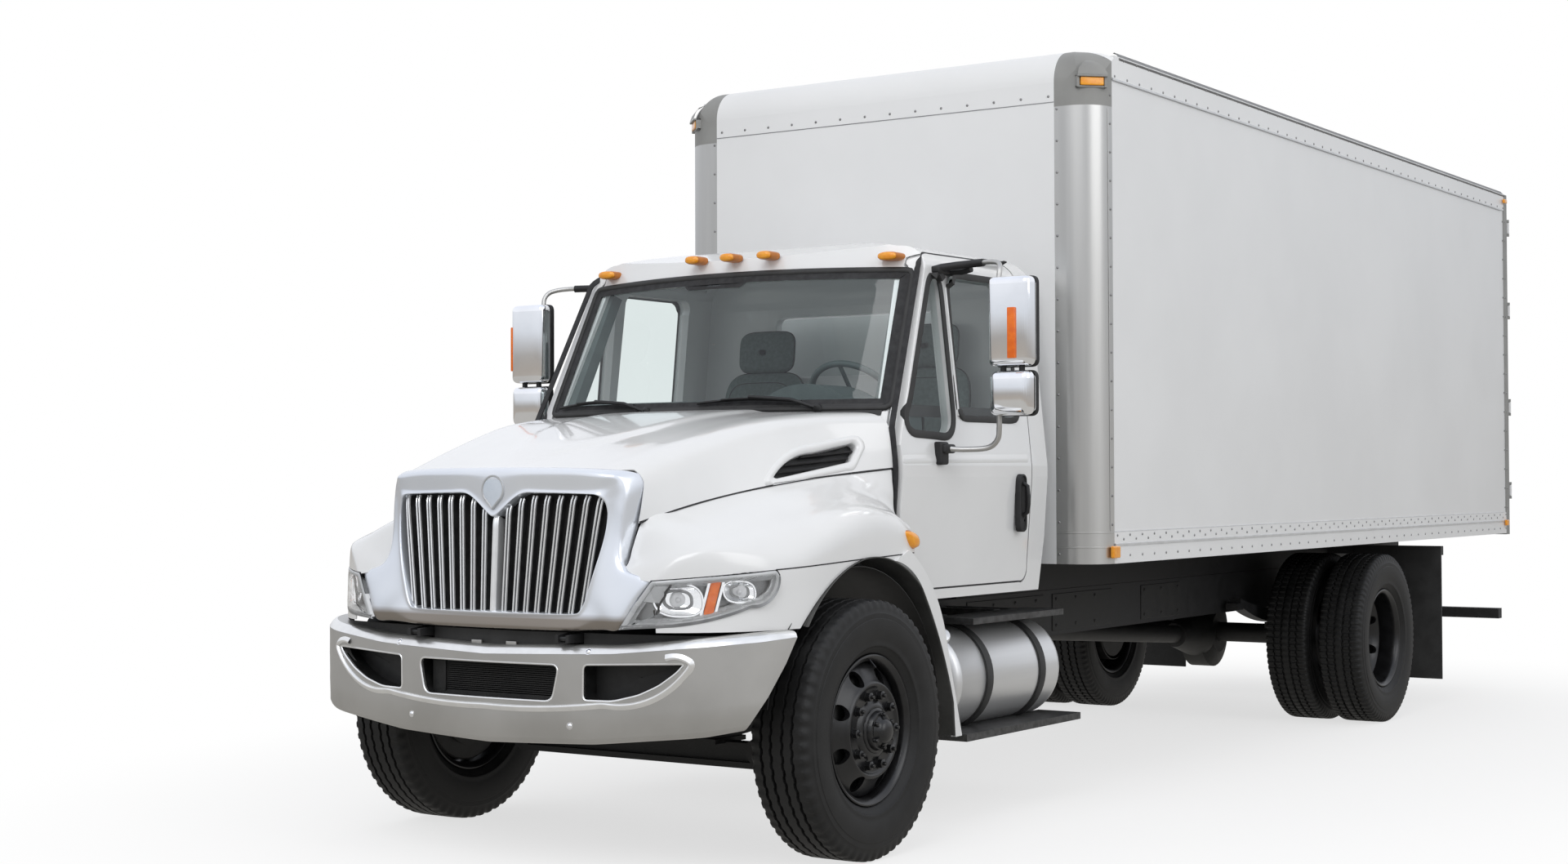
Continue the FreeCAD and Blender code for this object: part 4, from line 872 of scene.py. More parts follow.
# Grille surround: stations from the bottom middle round to the top middle.
# Columns: outer x, y, z; crest x, y, z; opening x, z.
SURROUND = (
    (0, -964, 940, 0, -969, 958, 0, 1004),
    (240, -959, 941, 240, -964, 958, 240, 1005),
    (405, -952, 943, 410, -957, 960, 405, 1007),
    (480, -948, 948, 470, -953, 975, 440, 1018),
    (560, -952, 952, 520, -950, 1010, 462, 1052),
    (634, -958, 957, 560, -948, 1060, 480, 1105),
    (694, -934, 1056, 580, -938, 1110, 497, 1160),
    (754, -902, 1146, 592, -926, 1160, 510, 1205),
    (690, -885, 1151, 594, -915, 1200, 521, 1245),
    (630, -868, 1160, 594, -903, 1245, 530, 1285),
    (606, -857, 1200, 593, -893, 1300, 537, 1325),
    (607, -838, 1280, 596, -886, 1355, 541, 1365),
    (614, -808, 1380, 601, -880, 1410, 541, 1405),
    (621, -776, 1490, 604, -872, 1475, 530, 1443),
    (609, -790, 1541, 588, -880, 1520, 500, 1466),
    (562, -850, 1561, 540, -912, 1540, 440, 1470),
    (430, -895, 1569, 420, -932, 1551, 340, 1473),
    (280, -903, 1573, 275, -940, 1555, 220, 1475),
    (150, -905, 1574, 150, -942, 1556, 150, 1474),
    (90, -905, 1575, 90, -944, 1556, 96, 1448),
    (40, -905, 1575, 40, -945, 1556, 46, 1410),
    (0, -905, 1575, 0, -946, 1556, 0, 1382),
)


def grille_face(x, z):
    x = abs(x)
    if x <= 480:
        y = -966 + 20 * (x / 480) ** 2
    else:
        y = -946 + 66 * ((x - 480) / 108) ** 1.7 if x < 588 else -880 + (x - 588) * 2.3
    return y + 0.05 * (z - 880)


def surround_loops():
    loops = [[] for _ in range(9)]
    for ox, oy, oz, cx, cy, cz, ix, iz in SURROUND:
        outer, crest = Vector((ox, oy, oz)), Vector((cx, cy, cz))
        lip = Vector((ix, grille_face(ix, iz) - 2, iz))
        inward = Vector((0, 0, 1230)) - Vector((lip.x, 0, lip.z))
        inward = Vector((inward.x * 1.15, 0, inward.z * 0.9)).normalized()
        back = Vector((0, 1, 0))
        stations = (outer + back * 22 + inward * 4, outer, outer.lerp(crest, 0.55) - back * 3, crest,
                    crest.lerp(lip, 0.5) + back, lip - inward * 9 + back * 2, lip - back * 6,
                    lip + inward * 7 + back * 3, lip + inward * 8 + back * 55)
        for loop, p in zip(loops, stations):
            loop.append(p)
    full = []
    for loop in loops:
        full.append(loop + [opposite(p) for p in loop[-2:0:-1]])
    return full


def add_grille():
    loops = surround_loops()
    heap = Heap().add(grid([spline(loop, 132, closed=True) for loop in loops], closed=True))
    build("grille_surround", heap, "chrome", "hood", ["grille"], material=SURROUND_BLUE, levels=2, sharp=0)
    bars, spines = Heap(), Heap()
    for i in range(-8, 9):
        low, high = i * 54, i * 64
        top = 1462 if abs(i) > 2 else (1380 if i == 0 else 1395 + abs(i) * 28)
        path, ups = [], []
        for k in range(25):
            z = lerp(1009, top, k / 24)
            x = lerp(low, high, (z - 985) / 515)
            y = grille_face(x, z) + 16
            if k == 24:
                y += 9
            elif k == 23:
                y += 2
            path.append((x, y, z))
            slope = (grille_face(x + 5, z) - grille_face(x - 5, z)) / 10
            ups.append(Vector((slope, -1, 0.05)))
        if i:
            for shift in (-7.5, 7.5):
                bars.add(ribbon(path, ups, [(shift - 4, -7), (shift - 3.6, 0), (shift, 2.6), (shift + 3.6, 0),
                                            (shift + 4, -7)]))
            spines.add(ribbon(path, ups, [(-7, -42), (-8, -5), (8, -5), (7, -42)]))
        else:
            bars.add(ribbon(path, ups, [(-16, -34), (-15, -2), (-11, 6), (-5, 11), (0, 12), (5, 11), (11, 6),
                                        (15, -2), (16, -34)]))
    build("grille_bars", bars, "chrome", "hood", material=BAR_CHROME, sharp=50)
    build("grille_spines", spines, "black_rubber", "hood", material=SHADE_AND_FRIT_BLACK)
    rows = []
    for z, half in ((1000, 440), (1150, 505), (1300, 545), (1478, 520)):
        rows.append([(x * half / 10, grille_face(x * half / 10, z) + 52, z) for x in range(-10, 11)])
    build("grille_screen", grid(rows), "black_rubber", "hood", material=MESH_BLACK)
    # The blank badge.
    badge = trace((0, 1410), (40, 1450), (54, 1484, 0, 1540), (-54, 1484, -40, 1450), (0, 1410), step=6)
    centre = Vector((0, 1486))
    badge = [tuple(p) for p in resample(badge, 60, closed=True)]
    places = [Vector((p[0], grille_face(p[0], p[1]) - 9, p[1])) for p in badge]
    rim = ribbon(places, (0, -1, 0.05), [(-5, -8), (-5, 1), (-2, 4), (2, 4), (4, 1), (4, -8)], closed=True)
    disc = []
    for f in (1.0, 0.8, 0.5, 0.2, 0.01):
        spots = [centre.lerp(Vector(p), f) for p in badge]
        disc.append([Vector((p.x, grille_face(0, p.y) - 9 - 3 * (1 - f * f), p.y)) for p in spots])
    build("badge_rim", rim, "chrome", "hood", material=LAMP_SILVER)
    build("badge_plate", grid(disc, closed=True, flip=True), "chrome", "hood", material=BADGE)


# Front bumper.
BUMPER_PLAN = trace((0, -999), (460, -965, 900, -886), (1080, -763, 1160, -420), (1160, -300), step=10)
BUMPER_BOTTOM = ((0, 500), (500, 516), (970, 562), (1125, 592), (1190, 700))
BUMPER_TOP = ((0, 876), (600, 894), (1200, 950))
BUMPER_END = ((300, -860), (600, -750), (1000, -490))


def bumper_point(f, v, inset, rise):
    """f runs from the middle to the end, v from the lower edge to the upper."""
    z = 700.0
    for _ in range(5):
        end = along_table(BUMPER_END, z)
        path = [p for p in BUMPER_PLAN if p[1] <= end]
        nxt = BUMPER_PLAN[len(path)]
        last = path[-1]
        path.append((lerp(last[0], nxt[0], (end - last[1]) / (nxt[1] - last[1])), end))
        spot = resample(path, 201)
        k = int(round(f * 200))
        p = spot[k]
        z = lerp(along_table(BUMPER_BOTTOM, abs(p.x)), along_table(BUMPER_TOP, abs(p.x)), v)
    a, b = spot[max(k - 1, 0)], spot[min(k + 1, 200)]
    normal = Vector((-(b.y - a.y), b.x - a.x)).normalized()
    return Vector((p.x + normal.x * inset, p.y + normal.y * inset, z + rise))


# How far up the bumper's height, how far in from its plan, and a rise.
BUMPER_SECTION = (
    (0.0, 34, -2), (0.0, 26, 0), (0.012, 15, 0), (0.03, 8, 0), (0.055, 4, 0), (0.06, 3, 0), (0.30, 1, 0),
    (0.6, 0, 0), (0.915, 0, 0), (0.918, 1.5, 0), (0.945, 8, 0), (0.972, 15, 0), (0.99, 24, 0), (1.0, 34, 0),
    (1.0, 50, 2), (1.0, 78, 2),
)
BUMPER_COUNT = 56


def bumper_rows(section, lift=0.0):
    rows = []
    for v, inset, rise in section:
        half = [bumper_point(f / BUMPER_COUNT, v, inset - lift, rise) for f in range(BUMPER_COUNT + 1)]
        rows.append([opposite(p) for p in half[:0:-1]] + half)
    return rows


def add_bumper():
    surface = grid(bumper_rows(BUMPER_SECTION))
    skin = Skin(surface)
    bumper = build("bumper_face", surface, "bumper_steel", "chassis", ["front_bumper"], thickness=5)
    centre = rounded([(-366, 818), (-332, 670), (332, 670), (366, 818)], 38)
    side = rounded([(468, 822), (466, 680), (600, 682), (708, 708), (792, 746), (866, 798), (902, 838)], 24)
    openings = (centre, side, [(-x, z) for x, z in side][::-1])
    carve(bumper, [prism_y(outline, -1200, -760) for outline in openings])
    # A sheet laid over the rolled top edge, in the paler steel: painted highlight.
    rim = Heap().add(grid(bumper_rows(BUMPER_SECTION[9:14], 1.2)))
    build("bumper_top_rim", rim, "bumper_steel", "chassis", material=LIP_HIGHLIGHT)
    # Raised lips round the openings, in the paler steel: painted highlight.
    edges = Heap()
    for outline in openings:
        places, normals = skin.line(resample(outline, 120, closed=True), "front")
        facing = signed_area(outline)
        profile = [(facing * a, b) for a, b in ((-7, -1), (-5.5, 2), (-2, 3), (1.5, -1), (4, -12), (5, -40))]
        edges.add(ribbon(places, normals, profile, closed=True))
    build("bumper_opening_lips", edges, "bumper_steel", "chassis", material=LIP_HIGHLIGHT, sharp=60)
    # The curved ledge below the openings: a short outer face and a long slope that looks up, in the paler
    # steel as a painted highlight.
    loop = trace((-820, 858), (-905, 853, -930, 836), (-820, 724, -560, 668), (-280, 643, 0, 641),
                 (280, 643, 560, 668), (820, 724, 930, 836), (905, 853, 820, 858), step=12)
    loop = smoothed_path(resample(loop, 260), 8)
    ledge = ribbon(*skin.line(loop, "front"), [(-15, -1), (-12, 7), (-8, 10), (-3, 9.5), (13, -1.5)])
    build("bumper_ledge", ledge, "bumper_steel", "chassis", material=LIP_HIGHLIGHT, sharp=60)
    # Behind the openings: black ducts, the middle one with the cooler's fins.
    ducts = Heap()
    for outline in openings:
        places, _ = skin.line(resample(outline, 120, closed=True), "front")
        rows = [[p + Vector((0, d, 0)) for p in places] for d in (20, 90)]
        middle = sum(rows[-1], Vector()) / 120
        rows.append([p.lerp(middle, 0.98) for p in rows[-1]])
        ducts.add(grid(rows, closed=True))
    for k in range(15):
        z = 688 + k * 8.2
        ducts.add(slab((-255, -930, z), (330, -918, z + 4), 0))
    for x in (-262, 336):
        ducts.add(slab((x - 5, -936, 684), (x + 5, -915, 808), 2))
    build("bumper_ducts", ducts, "black_rubber", "chassis", material=DUCT_BLACK)
    bolts = Heap()
    for x, z in ((491, 869), (410, 584)):
        for s in (1, -1):
            place, normal = skin.look("front", s * x, z)
            bolts.add(dome(place, normal, 11, 6, 16))
            bolts.add(lathe([(0, 14), (1.5, 14), (1.6, 11)], place, normal, 16))
    build("bumper_bolts", bolts, "bumper_steel", "chassis", material=CHROME)
    tags = Heap()
    for x in (-92, 88):
        tags.add(slab((x - 26, -938, 878), (x + 26, -930, 892), 2))
    build("valance_tags", tags, "bumper_steel", "chassis")


def smoothed_path(path, passes):
    for _ in range(passes):
        path = [path[0]] + [(a + b * 2 + c) / 4 for a, b, c in zip(path, path[1:], path[2:])] + [path[-1]]
    return path


def signed_area(outline):
    total = sum(a[0] * b[1] - b[0] * a[1] for a, b in zip(outline, outline[1:] + outline[:1]))
    return 1 if total > 0 else -1


ROUND_STEPS = 5


def rounded(corners, radius):
    """A polygon with its corners cut round."""
    result = []
    n = len(corners)
    for k in range(n):
        a, b, c = (Vector(corners[(k + j) % n]) for j in (-1, 0, 1))
        r = min(radius, (a - b).length * 0.45, (c - b).length * 0.45)
        p, q = b + (a - b).normalized() * r, b + (c - b).normalized() * r
        for s in range(ROUND_STEPS + 1):
            t = s / ROUND_STEPS
            result.append(tuple(p * (1 - t) ** 2 + b * 2 * t * (1 - t) + q * t * t))
    return result


# Headlamps.
BOWL_POWER = 2 / 2.6


def add_headlamps():
    skin = Skin("headlamps")
    out = Vector((math.sin(LAMP_TURN), -math.cos(LAMP_TURN), 0))
    outline = resample(trace(*LAMP_OUTLINE, step=10), 120, closed=True)
    middle = Vector((300, 1085))

    def lay(p, depth):
        place, _ = skin.hit(from_chord(p.x, 400, p.y), -out)
        return place - out * depth

    def loop_at(amount, depth):
        return [lay(p, depth) for p in moved_in(outline, amount)]

    lens = [loop_at(12, 2), loop_at(14, -2)]
    lens += [[lay(middle.lerp(p, f), -2.5) for p in outline] for f in (0.8, 0.5, 0.2, 0.02)]
    build_pair("headlamp_lens", grid(lens, closed=True), "lamp_lens", "hood", material=CLEAR, thickness=2.5)
    section = ((0, 12), (1, 0), (3, -3), (10, -4.5), (17, -3), (21, 4), (27, 16), (34, 20), (36, 48))
    frame_rows = [loop_at(amount, depth) for amount, depth in section]
    deep = [[lay(middle.lerp(p, f), 50) for p in moved_in(outline, 36)] for f in (1.0, 0.6, 0.3, 0.02)]
    left, _ = build_pair("headlamp_housing", grid(frame_rows, closed=True), "lamp_lens", "hood",
                         material=LAMP_SILVER, sharp=60)
    backing = Heap().add(grid(deep, closed=True))
    build_pair("headlamp_backing", backing, "lamp_lens", "hood", material=LAMP_GREY)
    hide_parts("headlamps")
    bowls, dark, bulbs = Heap(), Heap(), Heap()
    for u, z, wide, tall, deep_to in ((222, 1070, 92, 62, 44), (455, 1098, 62, 40, 40)):
        rows = []
        for k in range(8):
            f = k / 7
            row = []
            for a in turns(44):
                c, s = math.cos(a), math.sin(a)
                pu = u + wide * f * squared(c, BOWL_POWER) - 0.12 * wide * s * f
                pz = z + tall * f * squared(s, BOWL_POWER)
                row.append(lay(Vector((pu, pz)), lerp(deep_to, 14, f ** 2)))
            rows.append(row)
        bowls.add(grid(rows[1:], closed=True))
        bowls.add(ribbon(rows[-1], out, [(-5, -2), (-3, 3), (3, 3), (5, -2)], closed=True))
        dark.add(ribbon(rows[4], out, [(-7, 0), (-5, 2.5), (5, 2.5), (7, 0)], closed=True))
        bulbs.add(lathe([(-4, 30), (6, 30), (12, 22), (13, 0.2)], rows[0][0], out, 24))
        bulbs.add(lathe([(13, 10), (26, 10), (32, 6), (34, 0.2)], rows[0][0], out, 16))
    strip = [lay(Vector((lerp(332, 366, f), lerp(1006, 1140, f))), 12) for f in (0, 0.05, 0.5, 0.95, 1)]
    amber = Heap().add(ribbon(strip, out, [(-19, -20), (-18, -3), (-12, 1), (12, 1), (18, -3), (19, -20)]))
    for side in (-1, 1):
        line = [lay(Vector((u + side * 27, z)), 13) for u, z in ((330, 1002), (349, 1072), (368, 1142))]
        bowls.add(ribbon(line, out, [(-6, -20), (-5, 0), (5, 0), (6, -20)]))
    build_pair("headlamp_bowls", bowls, "chrome", "hood")
    build_pair("headlamp_rings", dark, "cast_alloy", "hood", material=LAMP_GREY)
    build_pair("headlamp_bulbs", bulbs, "lamp_lens", "hood", material=LAMP_PALE)
    build_pair("headlamp_amber", amber, "amber_lens", "hood", material=ORANGE)
    # A dark strip along the lamp's top edge: painted shade in the gap above the lamp.
    top = resample([(40, 1030), (70, 1080), (121, 1142), (360, 1160), (604, 1176), (614, 1158)], 60)
    gasket = ribbon([lay(p, 0) for p in top], out, [(-4, -8), (-4, 1), (4, 1), (4, -8)])
    low = resample(trace((8, 966), (199, 976), (360, 1002, 498, 1044), (592, 1084, 612, 1152), step=10), 60)
    trim = ribbon([lay(p, -2) for p in low], out, [(-8, -6), (-7, 2), (7, 2), (8, -6)])
    build_pair("headlamp_lower_trim", trim, "cast_alloy", "hood", material=LAMP_GREY)
    build_pair("headlamp_top_shade", gasket, "black_rubber", "hood", material=SHADE_AND_FRIT_BLACK)


def add_front():
    add_hood()
    add_fenders(hood_rows(60, 1)[0])
    add_grille()
    add_bumper()
    add_headlamps()


# Wheels. The tyre's half profile runs from the bead over the shoulder to the middle: x, radius.
WHEELBASE = 5994
TYRE_R = 521
FRONT_WHEEL_X = 1057
DUAL_INNER_X = 754
DUAL_OUTER_X = 1092
DUAL_FACE = (DUAL_INNER_X + DUAL_OUTER_X) / 2
WHEEL_NUTS = 10
NUT_CIRCLE_R = 142.9
HUB_CIRCLE_R = 66
HAND_HOLES = 8
SIDEWALL = ((92, 287), (93, 298), (100, 305), (109, 312), (117, 326), (124, 333), (128, 336), (130, 342),
            (129, 347), (133, 362), (137, 382), (139, 402), (139.5, 420), (138.5, 440), (138, 444),
            (136, 446), (135.5, 462), (135.2, 466), (133, 469), (131.5, 484), (129, 497), (125, 508),
            (119, 515.5), (112, 519))


def tyre_profile():
    """Points across one half: x, radius, kind. Kinds: 0 plain, 1 shoulder, 2 rib top, 3 groove bottom."""
    points = [(x, r, 1 if r > 480 else 0) for x, r in SIDEWALL]
    points += [(100, 520.2, 1), (78, 520.6, 2), (75, 507.5, 3), (67, 507.5, 3), (64, 520.8, 2), (44, 521, 2),
               (33, 521, 2), (30, 507.5, 3), (22, 507.5, 3), (19, 521, 2), (0.0, 521, 2)]
    return points


def tyre_shape(x, y, pitches, blocks):
    """A tyre about an axle at height TYRE_R, with notches round its shoulder; blocks cuts up its ribs."""
    half = tyre_profile()
    profile = [(-a, r, k) for a, r, k in half] + [(a, r, k) for a, r, k in half[-2::-1]]
    steps = pitches * 4
    rows = []
    for k in range(steps):
        phase = k % 4
        offset = (0.0, 0.34, 0.5, 0.84)[phase]
        turn = 2 * math.pi * (k // 4 + offset) / pitches
        row = []
        for a, r, kind in profile:
            side = 1 if a > 0 else -1
            shift = 0.0
            if kind in (2, 3) and abs(a) < 85:
                shift = (2.6 if blocks else 2.2) * (1 if phase in (0, 1) else -1) * (1 if abs(a) < 48 else -1)
            if kind == 1:
                drop = 4.5 if phase in (2, 3) else 0.0
                depth = min(1.0, (r - 480) / 20)
                row.append((a - side * drop * 0.45 * depth, r - drop * depth, turn))
            elif kind == 2 and blocks and phase in (2, 3) and a:
                row.append((a + shift, r - 5.5, turn))
            else:
                row.append((a + shift if a else a, r, turn))
        rows.append([Vector((x + a, y + r * math.sin(t), TYRE_R + r * math.cos(t))) for a, r, t in row])
    return grid(rows, closed_rows=True, flip=True)


def wheel_profile(profile, x, y, steps=72):
    """A profile of (x, radius) turned about the wheel's axle, outwards to the truck's left."""
    return lathe(profile, (x, y, TYRE_R), (1, 0, 0), steps)


BARREL = ((107, 291), (109, 296), (107, 301), (102, 302), (98, 299), (95, 290), (90, 286.5), (-90, 286.5),
          (-95, 290), (-98, 299), (-102, 302), (-107, 301), (-109, 296), (-107, 291), (-100, 280),
          (-88, 274), (60, 272), (84, 273), (98, 279), (107, 291))
FRONT_DISC = ((50, 274), (66, 262), (80, 240), (92, 222), (104, 205), (113, 196), (120, 190), (122, 184),
              (120, 177), (114, 171), (112, 164), (112, 122), (117, 116), (122, 108), (126, 100), (126, 90),
              (100, 88), (98, 116), (98, 170), (100, 182), (90, 198), (76, 216), (62, 238), (48, 258),
              (40, 272), (50, 274))
FRONT_HUB = ((60, 92), (128, 91), (132, 88), (134, 80), (146, 77), (152, 74), (154, 68), (154, 60),
             (160, 57), (166, 52), (170, 50), (178, 47), (186, 40), (191, 28), (193, 14), (193.5, 0.2))
DRUM = ((-75, 120), (-75, 255), (-68, 262), (-60, 255), (-60, 213), (40, 213), (50, 208), (56, 196),
        (58, 120))
DUAL_DISC = ((937, 100), (937, 166), (941, 172), (950, 184), (964, 202), (980, 214), (1004, 226),
             (1034, 240), (1060, 256), (1074, 274), (1062, 274), (1048, 262), (1024, 248), (996, 236),
             (966, 224), (944, 206), (930, 180), (923, 168), (923, 100), (937, 100))
DUAL_HUB = ((890, 118), (937, 118), (941, 113), (960, 104), (980, 90), (1010, 84), (1036, 80), (1044, 80),
            (1046, 84), (1054, 84), (1058, 80), (1060, 74), (1062, 40), (1064, 0.2))
REAR_DRUM = ((640, 208), (645, 213), (860, 213), (868, 200), (868, 120))


def hex_nut(centre, axis, across, depth, washer):
    """A nut on its washer, with the stud's end standing out of it."""
    parts = Heap()
    if washer:
        parts.add(lathe([(0, washer), (2.5, washer), (4, across * 0.62), (4, 0.2)], centre, axis, 20))
    parts.add(lathe([(0, across * 0.577), (depth - 2, across * 0.577), (depth, across * 0.48), (depth, 0.2)],
                    centre, axis, 6))
    parts.add(lathe([(depth, 8), (depth + 11, 8), (depth + 13, 6.5), (depth + 13, 0.2)], centre, axis, 12))
    return parts.points, parts.faces


def nut_ring(x, y, count, circle, across=33, depth=24, washer=21, turn=0.0):
    ring = Heap()
    for a in turns(count, turn):
        centre = (x, y + circle * math.cos(a), TYRE_R + circle * math.sin(a))
        ring.add(hex_nut(centre, (1, 0, 0), across, depth, washer))
    return ring.points, ring.faces


def hand_hole_cutters(x_low, x_high, y, circle, radius):
    cutters = Heap()
    for a in turns(HAND_HOLES, 0.5):
        cy, cz = y + circle * math.cos(a), TYRE_R + circle * math.sin(a)
        cutters.add(capped([[(x, cy + radius * math.cos(b), cz + radius * math.sin(b)) for b in turns(24)]
                            for x in (x_low, x_high)]))
    return cutters


def add_wheel_pair(end, body, treads, disc, holes, metal, drum):
    """The pieces of a front wheel or of twin wheels, on both sides."""
    plural = "s" if end == "rear" else ""
    build_pair(f"{end}_tread{plural}", treads, "tyre", body, [f"{end}_tyre{plural}"], sharp=30)
    discs = build_pair(f"{end}_disc", disc, "black_rim", body, [f"{end}_rim{plural}"], sharp=50)
    for piece, cutters in zip(discs, (holes, holes.mirrored())):
        carve(piece, [(cutters.points, cutters.faces)])
    build_pair(f"{end}_barrel{plural}", metal, "black_rim", body, sharp=40)
    build_pair(f"{end}_drum", drum, "black_rim", body, material=IRON)


def add_wheels():
    x = FRONT_WHEEL_X
    metal = Heap().add(wheel_profile(BARREL, x, 0, 96)).add(wheel_profile(FRONT_HUB, x, 0, 48))
    metal.add(nut_ring(x + 112, 0, WHEEL_NUTS, NUT_CIRCLE_R))
    metal.add(nut_ring(x + 154, 0, 6, HUB_CIRCLE_R, 13, 7, 0, 0.5))
    metal.add(rod((x + 96, 0, TYRE_R + 282), (x + 128, 0, TYRE_R + 250), 4, 8))
    add_wheel_pair("front", "front_wheel", tyre_shape(x, 0, 62, False), wheel_profile(FRONT_DISC, x, 0),
                   hand_hole_cutters(x, x + 160, 0, 224, 32), metal, wheel_profile(DRUM, x, 0, 48))
    treads, metal = Heap(), Heap()
    for x in (DUAL_INNER_X, DUAL_OUTER_X):
        treads.add(tyre_shape(x, WHEELBASE, 84, True))
        metal.add(wheel_profile(BARREL, x, WHEELBASE, 96))
    inner_disc = [(2 * DUAL_FACE - a, r) for a, r in DUAL_DISC]
    metal.add(wheel_profile(inner_disc, 0, WHEELBASE, 48)).add(wheel_profile(DUAL_HUB, 0, WHEELBASE, 48))
    metal.add(nut_ring(937, WHEELBASE, WHEEL_NUTS, NUT_CIRCLE_R))
    metal.add(nut_ring(1046, WHEELBASE, 8, HUB_CIRCLE_R, 19, 10, 0))
    add_wheel_pair("rear", "rear_wheels", treads, wheel_profile(DUAL_DISC, 0, WHEELBASE),
                   hand_hole_cutters(925, 1100, WHEELBASE, 230, 31), metal,
                   wheel_profile(REAR_DRUM, 0, WHEELBASE, 48))


# Cab.
CAB_NODES = ("cab_glass", "cab_roof", "cab_side_left", "cab_side_right", "cab_floor", "cab_back")
DOOR_OUTLINE = ((457, 1205), (457, 1745), (790, 2425), (850, 2500, 930, 2515), (1545, 2525),
                (1630, 2505, 1648, 2420), (1652, 1750), (1645, 1120), (1630, 1065, 1575, 1050), (665, 1050))
VENT_WINDOW = ((620, 1720), (560, 1740, 590, 1830), (850, 2380), (905, 2420, 950, 2380), (955, 1800),
               (930, 1730, 840, 1712))
MAIN_WINDOW = ((1010, 1830), (1020, 2380), (1045, 2420, 1080, 2425), (1480, 2425), (1535, 2415, 1545, 2360),
               (1552, 1850), (1540, 1800, 1490, 1795), (1050, 1795), (1015, 1800, 1010, 1830))


SCREEN_LINE = ((-935, 1828), (935, 1828), (882, 2436), (0, 2452, -882, 2436))
SCREEN_SWEEP = 3101
BACK_LINE = ((-472, 2038), (472, 2038), (472, 2327), (-472, 2327))


def screen_point(x, z, lift):
    """On the windscreen's outer face: it leans back by 0.48 and bows forward in the middle."""
    depth = SCREEN_SWEEP - math.sqrt(SCREEN_SWEEP ** 2 - x * x)
    normal = Vector((x / SCREEN_SWEEP, -1, 0.48)).normalized()
    return Vector((x, 385 + 0.48 * (z - 1810) + depth, z)) + normal * lift


def pane(outline, place):
    """One sheet of glass inside an outline; place(u, v) lays each point."""
    middle = sum(outline, Vector((0, 0))) / len(outline)
    rows = [[place(*middle.lerp(p, f)) for p in outline] for f in (1, 0.9, 0.75, 0.6, 0.45, 0.3, 0.15, 0.01)]
    return grid(rows, closed=True)


def moved_in(outline, amount):
    """Each point of a closed outline moved inwards, square to the outline."""
    n = len(outline)
    sign = signed_area([tuple(p) for p in outline])
    result = []
    for k in range(n):
        a, b = Vector(outline[k - 1]), Vector(outline[(k + 1) % n])
        along = (b - a).normalized()
        result.append(Vector(outline[k]) + Vector((-along.y, along.x)) * amount * sign)
    return result


def add_windscreen():
    behind = Skin("cab_glass")
    edge = resample(rounded(trace(*SCREEN_LINE, step=60), 30), 240, closed=True)
    back = resample(rounded(BACK_LINE, 40), 100, closed=True)
    panes = Heap().add(pane(moved_in(edge, 4), lambda x, z: screen_point(x, z, -3)))
    panes.add(pane(back, lambda x, z: behind.hit((x, 3000, z), (0, -1, 0))[0]))
    build("cab_panes", panes, "glass", "chassis", ["cab_glass"])
    body = Skin(*CAB_NODES, "door_left", "door_right")
    rows = []
    for inset, lift in ((-14, -2), (-13, 4), (-8, 8), (2, 8.5), (8, 6), (10, 1.5)):
        rows.append([screen_point(p.x, p.y, lift) for p in moved_in(edge, inset)])
    band = Heap().add(grid(rows, closed=True))
    build("windscreen_rubber", band, "black_rubber", "chassis", sharp=50)
    rows = []
    for inset, narrower in ((9, 1.0), (38, 0.985)):
        rows.append([screen_point(p.x * narrower, p.y, 0.8) for p in moved_in(edge, inset)])
    frit = Heap().add(grid(rows, closed=True))
    # The sensor cover behind the mirror's place.
    cover = rounded([(-300, 2438), (-240, 2392), (60, 2392), (120, 2438)], 8)
    frit.add(([screen_point(x, min(z, 2436), 1.0) for x, z in cover], [list(range(len(cover)))]))
    build("windscreen_border", frit, "black_rubber", "chassis", material=SHADE_AND_FRIT_BLACK)
    # Wipers, lying along the foot of the screen.
    wipers = Heap()
    for pivot, tip, height in ((-330, -860, 30), (560, 20, 22)):
        blade = []
        for k in range(13):
            x = lerp(pivot - 20, tip, k / 12)
            z = 1846 + height * math.sin(math.pi * k / 12) * 0.6 + 6
            blade.append(body.front(x, z, 16))
        wipers.add(tube(blade, 7, 6))
        wipers.add(tube([p + Vector((0, -10, 4)) for p in blade[2:10]], 5, 6))
        arm = [body.front(pivot + 60, 1822, 12), body.front(pivot - 60, 1850, 40),
               body.front((pivot + tip) / 2, 1868, 34)]
        wipers.add(tube(arm, 8, 8))
        wipers.add(dome(body.front(pivot + 60, 1822, 0), (0, -0.6, 0.8), 22, 30, 14))
    build("wipers", wipers, "black_rubber", "chassis", material=FRAME_BLACK)
    pillars = Heap()
    for side in (1, -1):
        loop = [(side * lerp(905, 856, k / 12), lerp(1840, 2425, k / 12)) for k in range(13)]
        pillars.add(grid([[screen_point(x - side * inset, z, lift) for x, z in loop]
                          for inset, lift in ((-8, -6), (20, -16), (58, -40), (62, -90))]))
    build("pillar_trim", pillars, "grey_trim", "chassis")
    rows = [[body.front(x, z, 3) for x in range(-930, 931, 30)] for z in (1792, 1806, 1818, 1832, 1844)]
    build("cowl_strip", grid(rows), "black_rubber", "chassis")


def smoothed(loop, passes):
    """Eases the corners of a closed loop of points."""
    n = len(loop)
    for _ in range(passes):
        loop = [(loop[k - 1] + loop[k] * 2 + loop[(k + 1) % n]) / 4 for k in range(n)]
    return loop


def band_round(skin, outline, inner, outer, lift):
    """A flat-topped gasket round a window seen from the side."""
    loop = smoothed(resample(trace(*outline, step=10), 110, closed=True), 6)
    sign = signed_area([tuple(p) for p in loop])
    grown = moved_in(loop, -8)
    places, normals = [], []
    for p, q in zip(loop, grown):
        place, normal = skin.look("side", q.x, q.y)
        places.append(Vector((place.x, p.x, p.y)))
        normals.append(normal)
    profile = [(outer, -2), (outer, lift * 0.7), (outer - 3, lift), (-inner + 4, lift), (-inner, lift * 0.6),
               (-inner, -26)]
    return ribbon(places, normals, [(a * -sign, b) for a, b in profile], closed=True)


